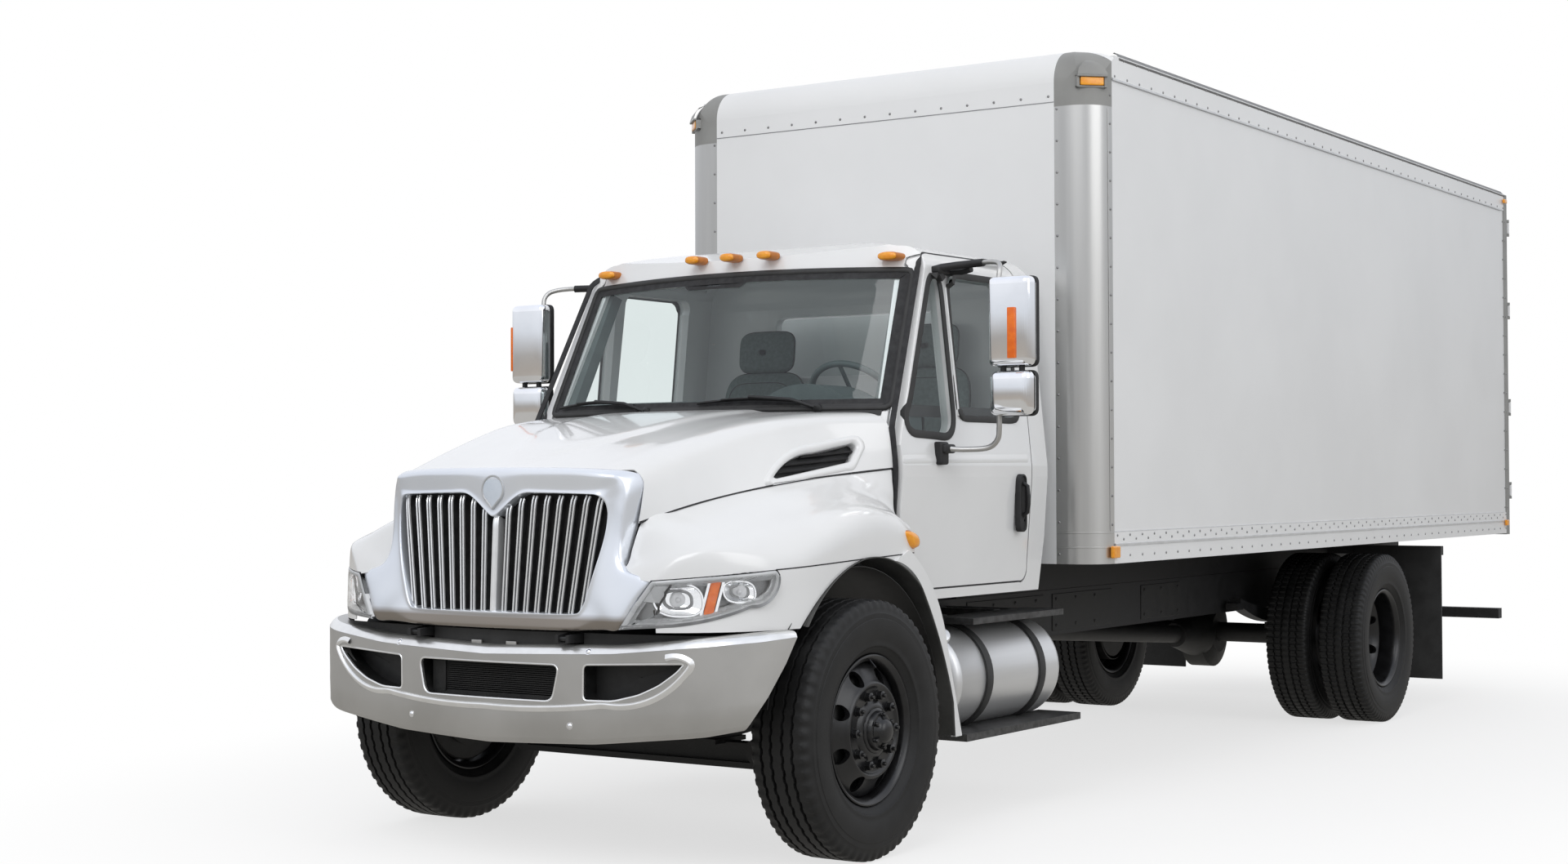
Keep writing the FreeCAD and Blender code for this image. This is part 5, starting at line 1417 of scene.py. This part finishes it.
def add_doors():
    skin = Skin("door_left")
    gaskets = Heap()
    gaskets.add(band_round(skin, VENT_WINDOW, 22, 12, 5))
    gaskets.add(band_round(skin, MAIN_WINDOW, 22, 8, 4))
    glass = Skin("door_glass_left")
    panes = Heap()
    for window in (VENT_WINDOW, MAIN_WINDOW):
        outline = moved_in(resample(trace(*window, step=10), 90, closed=True), 4)
        panes.add(pane(outline, lambda y, z: glass.side(y, z, -2)))
    build_pair("door_panes", panes, "glass", "cab_door", ["door_glass"])
    build_pair("window_gaskets", gaskets, "black_rubber", "cab_door", sharp=50)
    places, normals = skin.line([(1004 - 0.02 * (z - 1800), z) for z in range(1800, 2400, 30)], "side")
    places = [Vector((p.x, p.y - 2, p.z)) for p in places]
    bright = ribbon(places, normals, [(-8, 0), (-7, 5), (7, 5), (8, 0)])
    build_pair("window_division", bright, "white_paint", "cab_door")
    # Handle.
    plate = rounded([(1496, 1276), (1568, 1276), (1568, 1542), (1496, 1542)], 32)
    face = 1036
    loops = [[(face + lift, *p) for p in shrunk(plate, inset)]
             for inset, lift in ((0, -20), (0, 3), (4, 7), (9, 7), (12, 1), (30, 1))]
    handle = Heap().add(grid(loops, closed=True, flip=True))
    handle.faces.append(list(range(len(handle.points) - len(plate), len(handle.points))))
    grip = ((0, 1500), (22, 1486), (26, 1440), (26, 1400), (20, 1366), (-2, 1350))
    handle.add(tube([(face + out, 1540, z) for out, z in grip], 10))
    build_pair("door_handle", handle, "black_rubber", "cab_door", material=FRAME_BLACK, sharp=50)
    lock = Heap().add(lathe([(0, 10), (4, 10), (5, 7), (5, 0.2)], (face - 4, 1552, 1328), (1, 0, 0), 16))
    lock.add(lathe([(0, 6), (3, 6), (4, 4), (4, 0.2)], (face - 4, 1526, 1332), (1, 0, 0), 12))
    build_pair("door_lock", lock, "chrome", "cab_door")
    # The crease along the belt.
    belt = skin.line([(y, 1598 + (y - 470) * 0.008) for y in range(470, 1640, 26)], "side")
    crease = Heap().add(ribbon(*belt, [(-26, 0), (-10, 2.6), (2, 3.4), (9, 1.2), (12, 0)]))
    build_pair("door_crease", crease, "white_paint", "cab_door")
    # A dark strip inside the door's gap: painted shade in the gap.
    loop = resample(trace(*DOOR_OUTLINE, step=14), 200, closed=True)
    places, normals = [], []
    for p in moved_in(loop, -3):
        place, normal = skin.look("side", 1600, p.y)
        places.append(Vector((place.x, p.x, p.y)))
        normals.append(normal)
    gap = ribbon(places, normals, [(-2.6, -30), (-2.6, -2.5), (2.6, -2.5), (2.6, -30)], closed=True)
    build_pair("door_gap_shade", gap, "black_rubber", "chassis", material=SHADE_AND_FRIT_BLACK)


def soft_box(low, high, bevel, bulge, segments=6):
    """A block with generous round edges; its front face (low y) swells out by bulge."""
    points, faces = slab(low, high, bevel, segments)
    low, high = Vector(low), Vector(high)
    middle, half = (low + high) / 2, (high - low) / 2
    moved = []
    for p in points:
        u, w = (p.x - middle.x) / half.x, (p.z - middle.z) / half.z
        forward = max(0.0, (middle.y - p.y) / half.y)
        moved.append(Vector((p.x, p.y - bulge * (1 - u * u) * (1 - w * w) * forward, p.z)))
    return moved, faces


def mirror_loop(low_x, high_x, low_z, high_z, inset, radius):
    """A rounded rectangle of (x, z), drawn in by an inset."""
    left, right, bottom, top = low_x + inset, high_x - inset, low_z + inset, high_z - inset
    return rounded([(left, bottom), (right, bottom), (right, top), (left, top)], radius)


def add_mirrors():
    shells = Heap().add(soft_box((1243, 822, 2002), (1447, 905, 2388), 34, 10))
    shells.add(soft_box((1247, 822, 1792), (1443, 900, 1983), 36, 12))
    build_pair("mirror_shells", shells, "chrome", "cab_door", ["mirror"], sharp=60)
    rims = Heap()
    for size in ((1240, 1450, 1999, 2391), (1244, 1446, 1789, 1986)):
        rims.add(grid([[(x, y, z) for x, z in mirror_loop(*size, inset, 34)]
                       for inset, y in ((3, 888), (0, 896), (0, 912), (8, 918), (14, 914))], closed=True))
    for x in (1300, 1390):
        rims.add(rod((x, 866, 1980), (x, 866, 2006), 13))
    # Brackets on the door.
    for low, high in (((1002, 768, 1582), (1050, 836, 1682)), ((1026, 776, 1632), (1066, 868, 1672)),
                      ((905, 890, 2425), (968, 1050, 2458))):
        rims.add(slab(low, high, 14, 4))
    rims.add(tube([(925, 905, 2440), (960, 930, 2452), (1010, 975, 2462), (1080, 985, 2466),
                   (1150, 965, 2466)], 17))
    rims.add(tube([(955, 1000, 2440), (1020, 1010, 2436), (1070, 1000, 2444)], 14))
    build_pair("mirror_brackets", rims, "black_rubber", "cab_door", material=FRAME_BLACK, sharp=50)
    arms = Heap().add(tube(spline([(1060, 985, 2466), (1160, 962, 2467), (1225, 935, 2462), (1262, 905, 2448),
                                   (1275, 882, 2420), (1275, 872, 2380)], 30), 11, 14))
    arms.add(tube(spline([(1050, 818, 1652), (1120, 850, 1648), (1215, 880, 1655), (1262, 880, 1690),
                          (1275, 872, 1740), (1275, 870, 1800)], 30), 12, 14))
    build_pair("mirror_arms", arms, "bumper_steel", "cab_door")
    plates = Heap()
    for size in ((1258, 1432, 2020, 2372), (1262, 1428, 1808, 1968)):
        loop = mirror_loop(*size, 0, 24)
        plates.add(([(x, 913, z) for x, z in loop], [list(range(len(loop)))]))
    build_pair("mirror_glass", plates, "chrome", "cab_door")
    for side, low, high in (("left", (1348, 808, 2034), (1384, 824, 2252)),
                            ("right", (-1448, 824, 2062), (-1424, 848, 2280))):
        strip = Heap().add(soft_box(low, high, 4, 0, 2))
        build("mirror_marker_" + side, strip, "amber_lens", "cab_door_" + side, material=ORANGE)


ROOF_LAMPS = ((0, 660, 2530), (200, 665, 2530), (-200, 665, 2530), (784, 770, 2500), (-784, 770, 2500))


def add_roof_lamps():
    """Oval lamps that look ahead from the roof's front edge."""
    lamps, bases = Heap(), Heap()
    for x, y, z in ROOF_LAMPS:
        half = 36 if abs(x) < 500 else 46
        for heap, grow, ahead in ((bases, 1.1, 0), (lamps, 1.0, 10)):
            rows = []
            for f, depth in ((1.0, 58), (1.0, -6), (0.95, -13), (0.8, -18), (0.5, -21), (0.02, -22)):
                loop = []
                for a in turns(32):
                    u = half * grow * f * squared(math.cos(a), 0.8)
                    v = 18 * grow * f * squared(math.sin(a), 0.8)
                    loop.append(Vector((x + u, y + depth - ahead + abs(u) * 0.04, z + v)))
                rows.append(loop)
            heap.add(grid(rows, closed=True))
    build("roof_lamp_lenses", lamps, "amber_lens", "chassis", ["marker_lamps"])
    build("roof_lamp_bases", bases, "amber_lens", "chassis", material=AMBER_DARK)


def add_side_lamps():
    """A teardrop lamp on each fender, at the seam behind the wheel."""
    drop = spline([(356, 1296), (372, 1262), (406, 1236), (446, 1240), (456, 1262), (440, 1286), (402, 1302),
                   (368, 1304)], 40, closed=True)
    rows = []
    section = ((1.12, -30), (1.12, 3), (1.02, 5), (1.0, 12), (0.9, 20), (0.6, 26), (0.3, 28), (0.02, 28))
    for f, lift in section:
        rows.append([Vector((1106 + lift, lerp(408, p.x, f), lerp(1268, p.y, f))) for p in drop])
    build_pair("side_lamps", grid(rows[2:], closed=True), "amber_lens", "hood")
    left, _ = build_pair("side_lamp_bases", grid(rows[:3], closed=True), "amber_lens", "hood",
                         material=AMBER_DARK)
    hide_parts("fender_lamps")


PAD_POWER = 0.42


def pad(centre, half, thin, lean):
    """A crowned cushion, thin along one axis (1 for Y, 2 for Z), leaning back by lean."""
    wide = [axis for axis in (0, 1, 2) if axis != thin]
    rows = []
    for i in range(25):
        up = -math.pi / 2 * 0.995 + math.pi * 0.995 * i / 24
        row = []
        reach = math.cos(up) ** PAD_POWER
        for turn in turns(48):
            offset = Vector()
            offset[thin] = half[thin] * squared(math.sin(up), 0.8)
            for axis, part in zip(wide, (math.cos(turn), math.sin(turn))):
                offset[axis] = half[axis] * reach * squared(part, PAD_POWER)
            place = Vector(centre) + offset
            place.y += lean * offset.z
            row.append(place)
        rows.append(row)
    return rows


def add_seats():
    """Padded seats with piped edges and stitched panels, on dark bases."""
    seams, bases = Heap(), Heap()
    for side, x in (("_left", 470), ("_right", -470)):
        for name, centre, half, thin, lean in (("seat_cushion", (x, 1380, 1425), (248, 250, 68), 2, 0),
                                               ("seat_back", (x, 1615, 1780), (238, 60, 275), 1, 0.13),
                                               ("seat_head", (x, 1656, 2158), (162, 42, 104), 1, 0.10)):
            rows = pad(centre, half, thin, lean)
            piece = build(name + side, grid(rows, closed=True), "seat_cloth", "chassis")
            seams.add(tube(rows[12], 4, 6, closed=True))
            if name != "seat_head":
                seams.add(tube(rows[5 if thin == 1 else 19], 2.5, 5, closed=True))
        bases.add(slab((x - 180, 1200, 1050), (x + 180, 1600, 1365), 20, 3))
        bases.add(rod((x - 60, 1650, 2020), (x - 60, 1650, 2090), 7))
        bases.add(rod((x + 60, 1650, 2020), (x + 60, 1650, 2090), 7))
    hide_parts("seats")
    build("seat_seams", seams, "seat_cloth", "chassis", material=SHEET_RUBBER)
    build("seat_bases", bases, "seat_cloth", "chassis", material=TRIM)


def add_cab():
    add_windscreen()
    add_doors()
    add_mirrors()
    add_roof_lamps()
    add_side_lamps()
    add_seats()


# Van body.
RIVET_PITCH = 137


def rivets(places):
    heap = Heap()
    for place, normal in places:
        heap.add(dome(place, normal, 7, 4, 8))
    return heap


BOX_FRONT_Y = 2150
BOX_REAR_Y = 8560


def add_box():
    side = Skin("box_side_left", "rear_posts", "box_corner_posts", "box_roof", "box_corner_caps")
    front = Skin("box_front_wall", "box_corner_posts", "box_roof")
    spots = []
    count = int((BOX_REAR_Y - BOX_FRONT_Y) / RIVET_PITCH)
    for i in range(count + 1):
        y = BOX_FRONT_Y + i * (BOX_REAR_Y - BOX_FRONT_Y) / count
        spots += [(y, 3452), (y, 1248), (y, 1150)]
        if i < count:
            spots.append((y + RIVET_PITCH / 2, 1228))
    spots += [(2110 + i * 142, 3540) for i in range(46)]
    for i in range(16):
        z = 1300 + i * RIVET_PITCH
        spots += [(2098, z), (8600, z), (BOX_REAR_Y, z)]
    places = [side.look("side", y, z) for y, z in spots]
    places += [side.hit((1008, 1500, 1160 + i * 152), (0, 1, 0)) for i in range(15)]
    build_pair("box_rivets", rivets(places), "bright_alloy", "chassis", material=RIVET)
    seam = Heap().add(ribbon([front.front(x, 3323, 0.4) for x in range(-994, 995, 28)], (0, -1, 0),
                             [(-2, 0), (-1.6, 1.4), (1.6, 1.4), (2, 0)]))
    build("box_header_seam", seam, "bright_alloy", "chassis", material=LAMP_GREY)
    places = [front.hit((-960 + i * 148, 1500, 3352), (0, 1, 0)) for i in range(14)]
    build("box_front_rivets", rivets(places), "bright_alloy", "chassis", material=RIVET)
    # Bands round the corner posts' feet, the posts' seams, and beads along the rails.
    ribs = Heap()
    for z in (1192, 1262):
        normals = [Vector((math.sin(a), -math.cos(a), 0)) for a in (math.radians(d) for d in range(2, 90, 4))]
        points = [Vector((1054, 2118, z)) + normal * 165 for normal in normals]
        points = [Vector((1000, 1953, z))] + points + [Vector((1219, 2112, z))]
        normals = [Vector((0, -1, 0))] + normals + [Vector((1, 0, 0))]
        ribs.add(ribbon(points, normals, [(-4, 0), (-3, 3), (3, 3), (4, 0)]))
    for y in (2082, 2118):
        line = [side.side(y, z, 0.3) for z in (1270, 2000, 3290)]
        ribs.add(ribbon(line, (1, 0, 0), [(-3, 0), (-2, 3), (2, 3), (3, 0)]))
    build_pair("post_ribs", ribs, "bright_alloy", "chassis")
    rails = Heap()
    wide, narrow = [(-8, 0), (-5, 5), (5, 5), (7, 0)], [(-7, 0), (-4, 6), (4, 6), (6, 0)]
    for z, lift, profile in ((1202, 0.3, wide), (1262, -1, narrow), (3436, -1, narrow)):
        rails.add(ribbon([side.side(y, z, lift) for y in range(2120, 8600, 400)], (1, 0, 0), profile))
    build_pair("rail_beads", rails, "bright_alloy", "chassis", material=ALLOY_PALE)
    edge = ribbon([(1206, y, 3556) for y in range(2200, 8660, 400)], (0.75, 0, 0.66),
                  [(-26, -3), (-24, 5), (20, 5), (24, -3)])
    build_pair("roof_edge", edge, "bright_alloy", "chassis", material=ROOF_EDGE)


def add_markers():
    """Amber and red lamps on the van body."""
    amber, red, dark = Heap(), Heap(), Heap()
    amber.add(soft_box((1222, 2066, 1140), (1241, 2142, 1198), 8, 0, 4))
    amber.add(soft_box((1226, 8512, 1170), (1243, 8568, 1210), 6, 0, 3))
    amber.add(soft_box((1226, 8530, 3486), (1243, 8590, 3514), 5, 0, 3))
    # A hooded lamp on each corner cap, across its diagonal.
    caps = Skin("box_corner_caps")
    place, _ = caps.hit((1700, 1472, 3412), (-1, 1, 0))
    along, out = Vector((1, 1, 0)).normalized(), Vector((1, -1, 0)).normalized()
    for heap, low, high, edge in ((amber, (-58, -14, -20), (58, 12, 20), 6),
                                  (dark, (-76, -40, -30), (76, 4, -20), 3),
                                  (dark, (-76, -40, 20), (76, 20, 30), 3),
                                  (dark, (-76, -40, -30), (-62, 8, 30), 3),
                                  (dark, (62, -40, -30), (76, 8, 30), 3)):
        points, faces = slab(low, high, edge, 3)
        heap.add(([place + along * p[0] + out * p[1] + Vector((0, 0, p[2])) for p in points], faces))
    hood = [[place + along * side * reach + out * depth + Vector((0, 0, z)) for side in (-1, -0.5, 0, 0.5, 1)]
            for reach, depth, z in ((76, 20, 30), (66, 8, 62), (40, -14, 92), (10, -50, 110))]
    dark.add(grid(hood))
    build_pair("cap_lamp_hoods", dark, "cast_alloy", "chassis")
    build_pair("body_lamps", amber, "amber_lens", "chassis")
    for x in (900, 1080):
        red.add(soft_box((x - 48, 8652, 1152), (x + 48, 8676, 1218), 12, 0, 4))
    build_pair("tail_lamps", red, "amber_lens", "chassis", material=RED)


# Tank, steps and chassis.
def add_tank():
    x, z, r = 765, 625, 235
    end = [(0, 0.3), (3, 90), (10, 160), (22, 205), (34, 224), (44, 232), (56, r), (60, r + 2), (66, r + 2),
           (70, r)]
    profile = end + [(1050 - along, radius) for along, radius in reversed(end)]
    tank = Heap().add(lathe(profile, (x, 960, z), (0, 1, 0), 72))
    build("tank_shell", tank, "bright_alloy", "chassis", ["fuel_tank"], material=BRUSHED, sharp=30)
    cap = lathe([(-24, 30), (0, 32), (6, 36), (26, 36), (33, 32), (36, 18), (37, 0.2)],
                (x + 150, 988, z + 190), (0.62, -0.5, 0.6), 28)
    build("tank_cap", cap, "bright_alloy", "chassis", material=ALLOY_PALE)
    straps = Heap()
    angles = [math.radians(d) for d in range(-90, 181, 6)]
    ups = [Vector((math.cos(a), 0, math.sin(a))) for a in angles]
    for y in (1270, 1780):
        loop = [(x + math.cos(a) * (r + 1), y, z + math.sin(a) * (r + 1)) for a in angles]
        straps.add(ribbon(loop, ups, [(-27, 0), (-27, 9), (-20, 12), (20, 12), (27, 9), (27, 0)]))
    build("tank_straps", straps, "black_rubber", "chassis", sharp=50)


# The deck: its half width, its ends, where the corner posts end, and the heights of its parts.
DECK_HALF = 1193
DECK_FRONT = 1979
DECK_REAR = 8574
POST_REAR = 2118
DECK_TOP = 1255
BOARD_FOOT = 1211
BEARER_FOOT = 1114
BEARER_TOP = 1209
BOARDS = 14
BOARD_PITCH = 170.4
DECK_EDGE = 6


def add_deck():
    """The deck's boards on black bearers and runners; the outer boards start behind the corner posts."""
    boards, under = Heap(), Heap()
    for k in range(BOARDS):
        x = -DECK_HALF + k * BOARD_PITCH
        front = POST_REAR if k in (0, BOARDS - 1) else DECK_FRONT
        boards.add(slab((x, front, BOARD_FOOT), (x + 169, DECK_REAR, DECK_TOP), 1, 1))
    build("deck_boards", boards, "floor_wood", "chassis", ["box_floor"])
    under.add(slab((-1050, DECK_FRONT, BOARD_FOOT - 3), (1050, DECK_REAR, BOARD_FOOT), 0))
    for i in range(16):
        y = 2050 + i * 406
        reach = DECK_HALF if i else 1165
        under.add(slab((-reach, y, BEARER_FOOT), (reach, y + 60, BEARER_TOP), 2, 1))
    for low in (-430, 350):
        under.add(slab((low, DECK_FRONT, 931), (low + 80, DECK_REAR, BEARER_TOP), 2, 1))
    for low in (-DECK_HALF, DECK_HALF - DECK_EDGE):
        under.add(slab((low, POST_REAR, BEARER_FOOT), (low + DECK_EDGE, DECK_REAR, BEARER_TOP), 0))
    build("deck_bearers", under, "floor_wood", "chassis", material=FRAME_BLACK)


def add_rail_details():
    """Plates and their bolts along the frame rails."""
    plates, bolts = Heap(), Heap()
    rail = Skin("frame_rails")
    for low, high in ((2080, 2900), (3000, 3720), (4100, 4640)):
        place, _ = rail.hit((900, (low + high) / 2, 810), (-1, 0, 0))
        plates.add(slab((place.x - 4, low, 712), (place.x + 5, high, 908), 2, 1))
        for y in range(low + 40, high - 30, 230):
            for z in (740, 880):
                bolts.add(dome((place.x + 5, y, z), (1, 0, 0), 10, 7, 6))
    build_pair("rail_plates", plates, "black_frame", "chassis", material=IRON)
    build_pair("rail_bolts", bolts, "black_frame", "chassis", material=IRON)


# Camera, floor and light.
def add_camera():
    yaw, pitch, roll = (math.radians(a) for a in (CAMERA_YAW, CAMERA_PITCH, CAMERA_ROLL))
    ahead = Vector((-math.sin(yaw) * math.cos(pitch), math.cos(yaw) * math.cos(pitch), math.sin(pitch)))
    right = Vector((math.cos(yaw), math.sin(yaw), 0))
    up = right.cross(ahead)
    right, up = right * math.cos(roll) + up * math.sin(roll), up * math.cos(roll) - right * math.sin(roll)
    camera = bpy.data.objects.new("camera", bpy.data.cameras.new("camera"))
    camera.data.lens = CAMERA_LENS
    camera.data.sensor_width = SENSOR_WIDTH
    camera.data.clip_end = 200
    turn = Matrix((right, up, -ahead)).transposed().to_4x4()
    camera.matrix_world = Matrix.Translation(CAMERA_PLACE) @ turn
    bpy.context.collection.objects.link(camera)
    bpy.context.scene.camera = camera


def seen_as(tree, lit, white, mirrored_view, output):
    """White where the camera looks straight or through glass, a plainer view in mirrors, lit otherwise."""
    path = add_node(tree, "LightPath")
    straight = add_node(tree, "Math")
    straight.operation = "MAXIMUM"
    tree.links.new(path.outputs["Is Camera Ray"], straight.inputs[0])
    tree.links.new(path.outputs["Is Transmission Ray"], straight.inputs[1])
    shiny = mixed_shaders(tree, path.outputs["Is Glossy Ray"], lit, mirrored_view)
    tree.links.new(mixed_shaders(tree, straight.outputs[0], shiny, white), output.inputs["Surface"])


# Each height of the view, from -1 straight down to 1 straight up, and its colour in reflections.
SKY_BANDS = (
    (-1.0, (0.50, 0.49, 0.47)), (-0.10, (0.60, 0.58, 0.55)), (-0.01, (0.42, 0.38, 0.34)),
    (0.03, (0.40, 0.38, 0.36)), (0.09, (0.74, 0.77, 0.82)), (0.22, (0.98, 1.0, 1.05)),
    (0.7, (0.95, 0.98, 1.06)), (1.0, (0.86, 0.92, 1.05)),
)


def sky_view(tree):
    """A plain band of trees and ground under a pale sky, for reflections."""
    place = add_node(tree, "TexCoord")
    split = add_node(tree, "SeparateXYZ")
    tree.links.new(place.outputs["Generated"], split.inputs[0])
    bands = add_node(tree, "ValToRGB")
    first, last = bands.color_ramp.elements
    first.position, last.position = 0.0, 1.0
    first.color, last.color = (*SKY_BANDS[0][1], 1), (*SKY_BANDS[-1][1], 1)
    for height, colour in SKY_BANDS[1:-1]:
        stop = bands.color_ramp.elements.new((height + 1) / 2)
        stop.color = (*colour, 1)
    tree.links.new(map_range(tree, split.outputs["Z"], From_Min=-1), bands.inputs["Fac"])
    shader = add_node(tree, "Background")
    tree.links.new(bands.outputs["Color"], shader.inputs["Color"])
    return shader.outputs[0]


def add_world():
    world = bpy.data.worlds.new("studio")
    world.use_nodes = True
    bpy.context.scene.world = world
    tree = world.node_tree
    tree.nodes.clear()
    output = add_node(tree, "OutputWorld")
    soft = add_node(tree, "Background", Color=(0.97, 0.98, 1.0, 1), Strength=0.62)
    white = add_node(tree, "Background", Color=(1, 1, 1, 1), Strength=1.0)
    seen_as(tree, soft.outputs[0], white.outputs[0], sky_view(tree), output)


# The floor's half size, and how far from the middle the truck's shade on it fades out, in metres.
FLOOR_REACH = 60
SHADE_FROM = 3.6
SHADE_TO = 7.5


def add_floor():
    """A pale floor: white to the camera but for the truck's shade, a duller grey in reflections."""
    mesh = bpy.data.meshes.new("floor")
    corners = [(x * FLOOR_REACH, y * FLOOR_REACH, 0) for x, y in ((-1, -1), (1, -1), (1, 1), (-1, 1))]
    mesh.from_pydata(corners, [], [(0, 1, 2, 3)])
    floor = bpy.data.objects.new("floor", mesh)
    bpy.context.collection.objects.link(floor)
    material, tree, shader = new_material("pale_floor")
    set_inputs(shader, Base_Color=(0.95, 0.95, 0.955, 1), Roughness=0.9, Specular_IOR_Level=0.1)
    white = add_node(tree, "Emission", Color=(1, 1, 1, 1))
    dull = add_node(tree, "Emission", Color=(0.50, 0.485, 0.46, 1))
    place = add_node(tree, "TexCoord")
    squash = add_node(tree, "Mapping", Scale=(1.6, 1.0, 1.0))
    length = add_node(tree, "VectorMath")
    length.operation = "LENGTH"
    tree.links.new(place.outputs["Object"], squash.inputs["Vector"])
    tree.links.new(squash.outputs["Vector"], length.inputs[0])
    edge = add_node(tree, "MapRange", From_Min=SHADE_FROM, From_Max=SHADE_TO)
    edge.interpolation_type = "SMOOTHSTEP"
    tree.links.new(length.outputs["Value"], edge.inputs["Value"])
    paleness = map_range(tree, edge.outputs["Result"], To_Min=0.68)
    near = mixed_shaders(tree, paleness, shader.outputs[0], white.outputs[0])
    plain = add_node(tree, "BsdfDiffuse", Color=(0.5, 0.5, 0.49, 1))
    seen_as(tree, plain.outputs[0], near, dull.outputs[0], tree.nodes["Material Output"])
    mesh.materials.append(material)


def add_lamp(name, place, aim, size, power):
    lamp = bpy.data.objects.new(name, bpy.data.lights.new(name, "AREA"))
    lamp.data.size = size
    lamp.data.energy = power
    lamp.location = place
    lamp.rotation_euler = (Vector(aim) - Vector(place)).to_track_quat("-Z", "Y").to_euler()
    bpy.context.collection.objects.link(lamp)


dress_nodes()
add_front()
add_wheels()
add_cab()
add_box()
add_markers()
add_tank()
add_deck()
add_rail_details()
add_camera()
add_world()
add_floor()
add_lamp("key", (3, -14, 12), (0, -2, 1.5), 9, 700)
add_lamp("fill", (13, -4, 8), (0, 0, 1.5), 9, 420)

bpy.context.scene.view_settings.view_transform = "Standard"
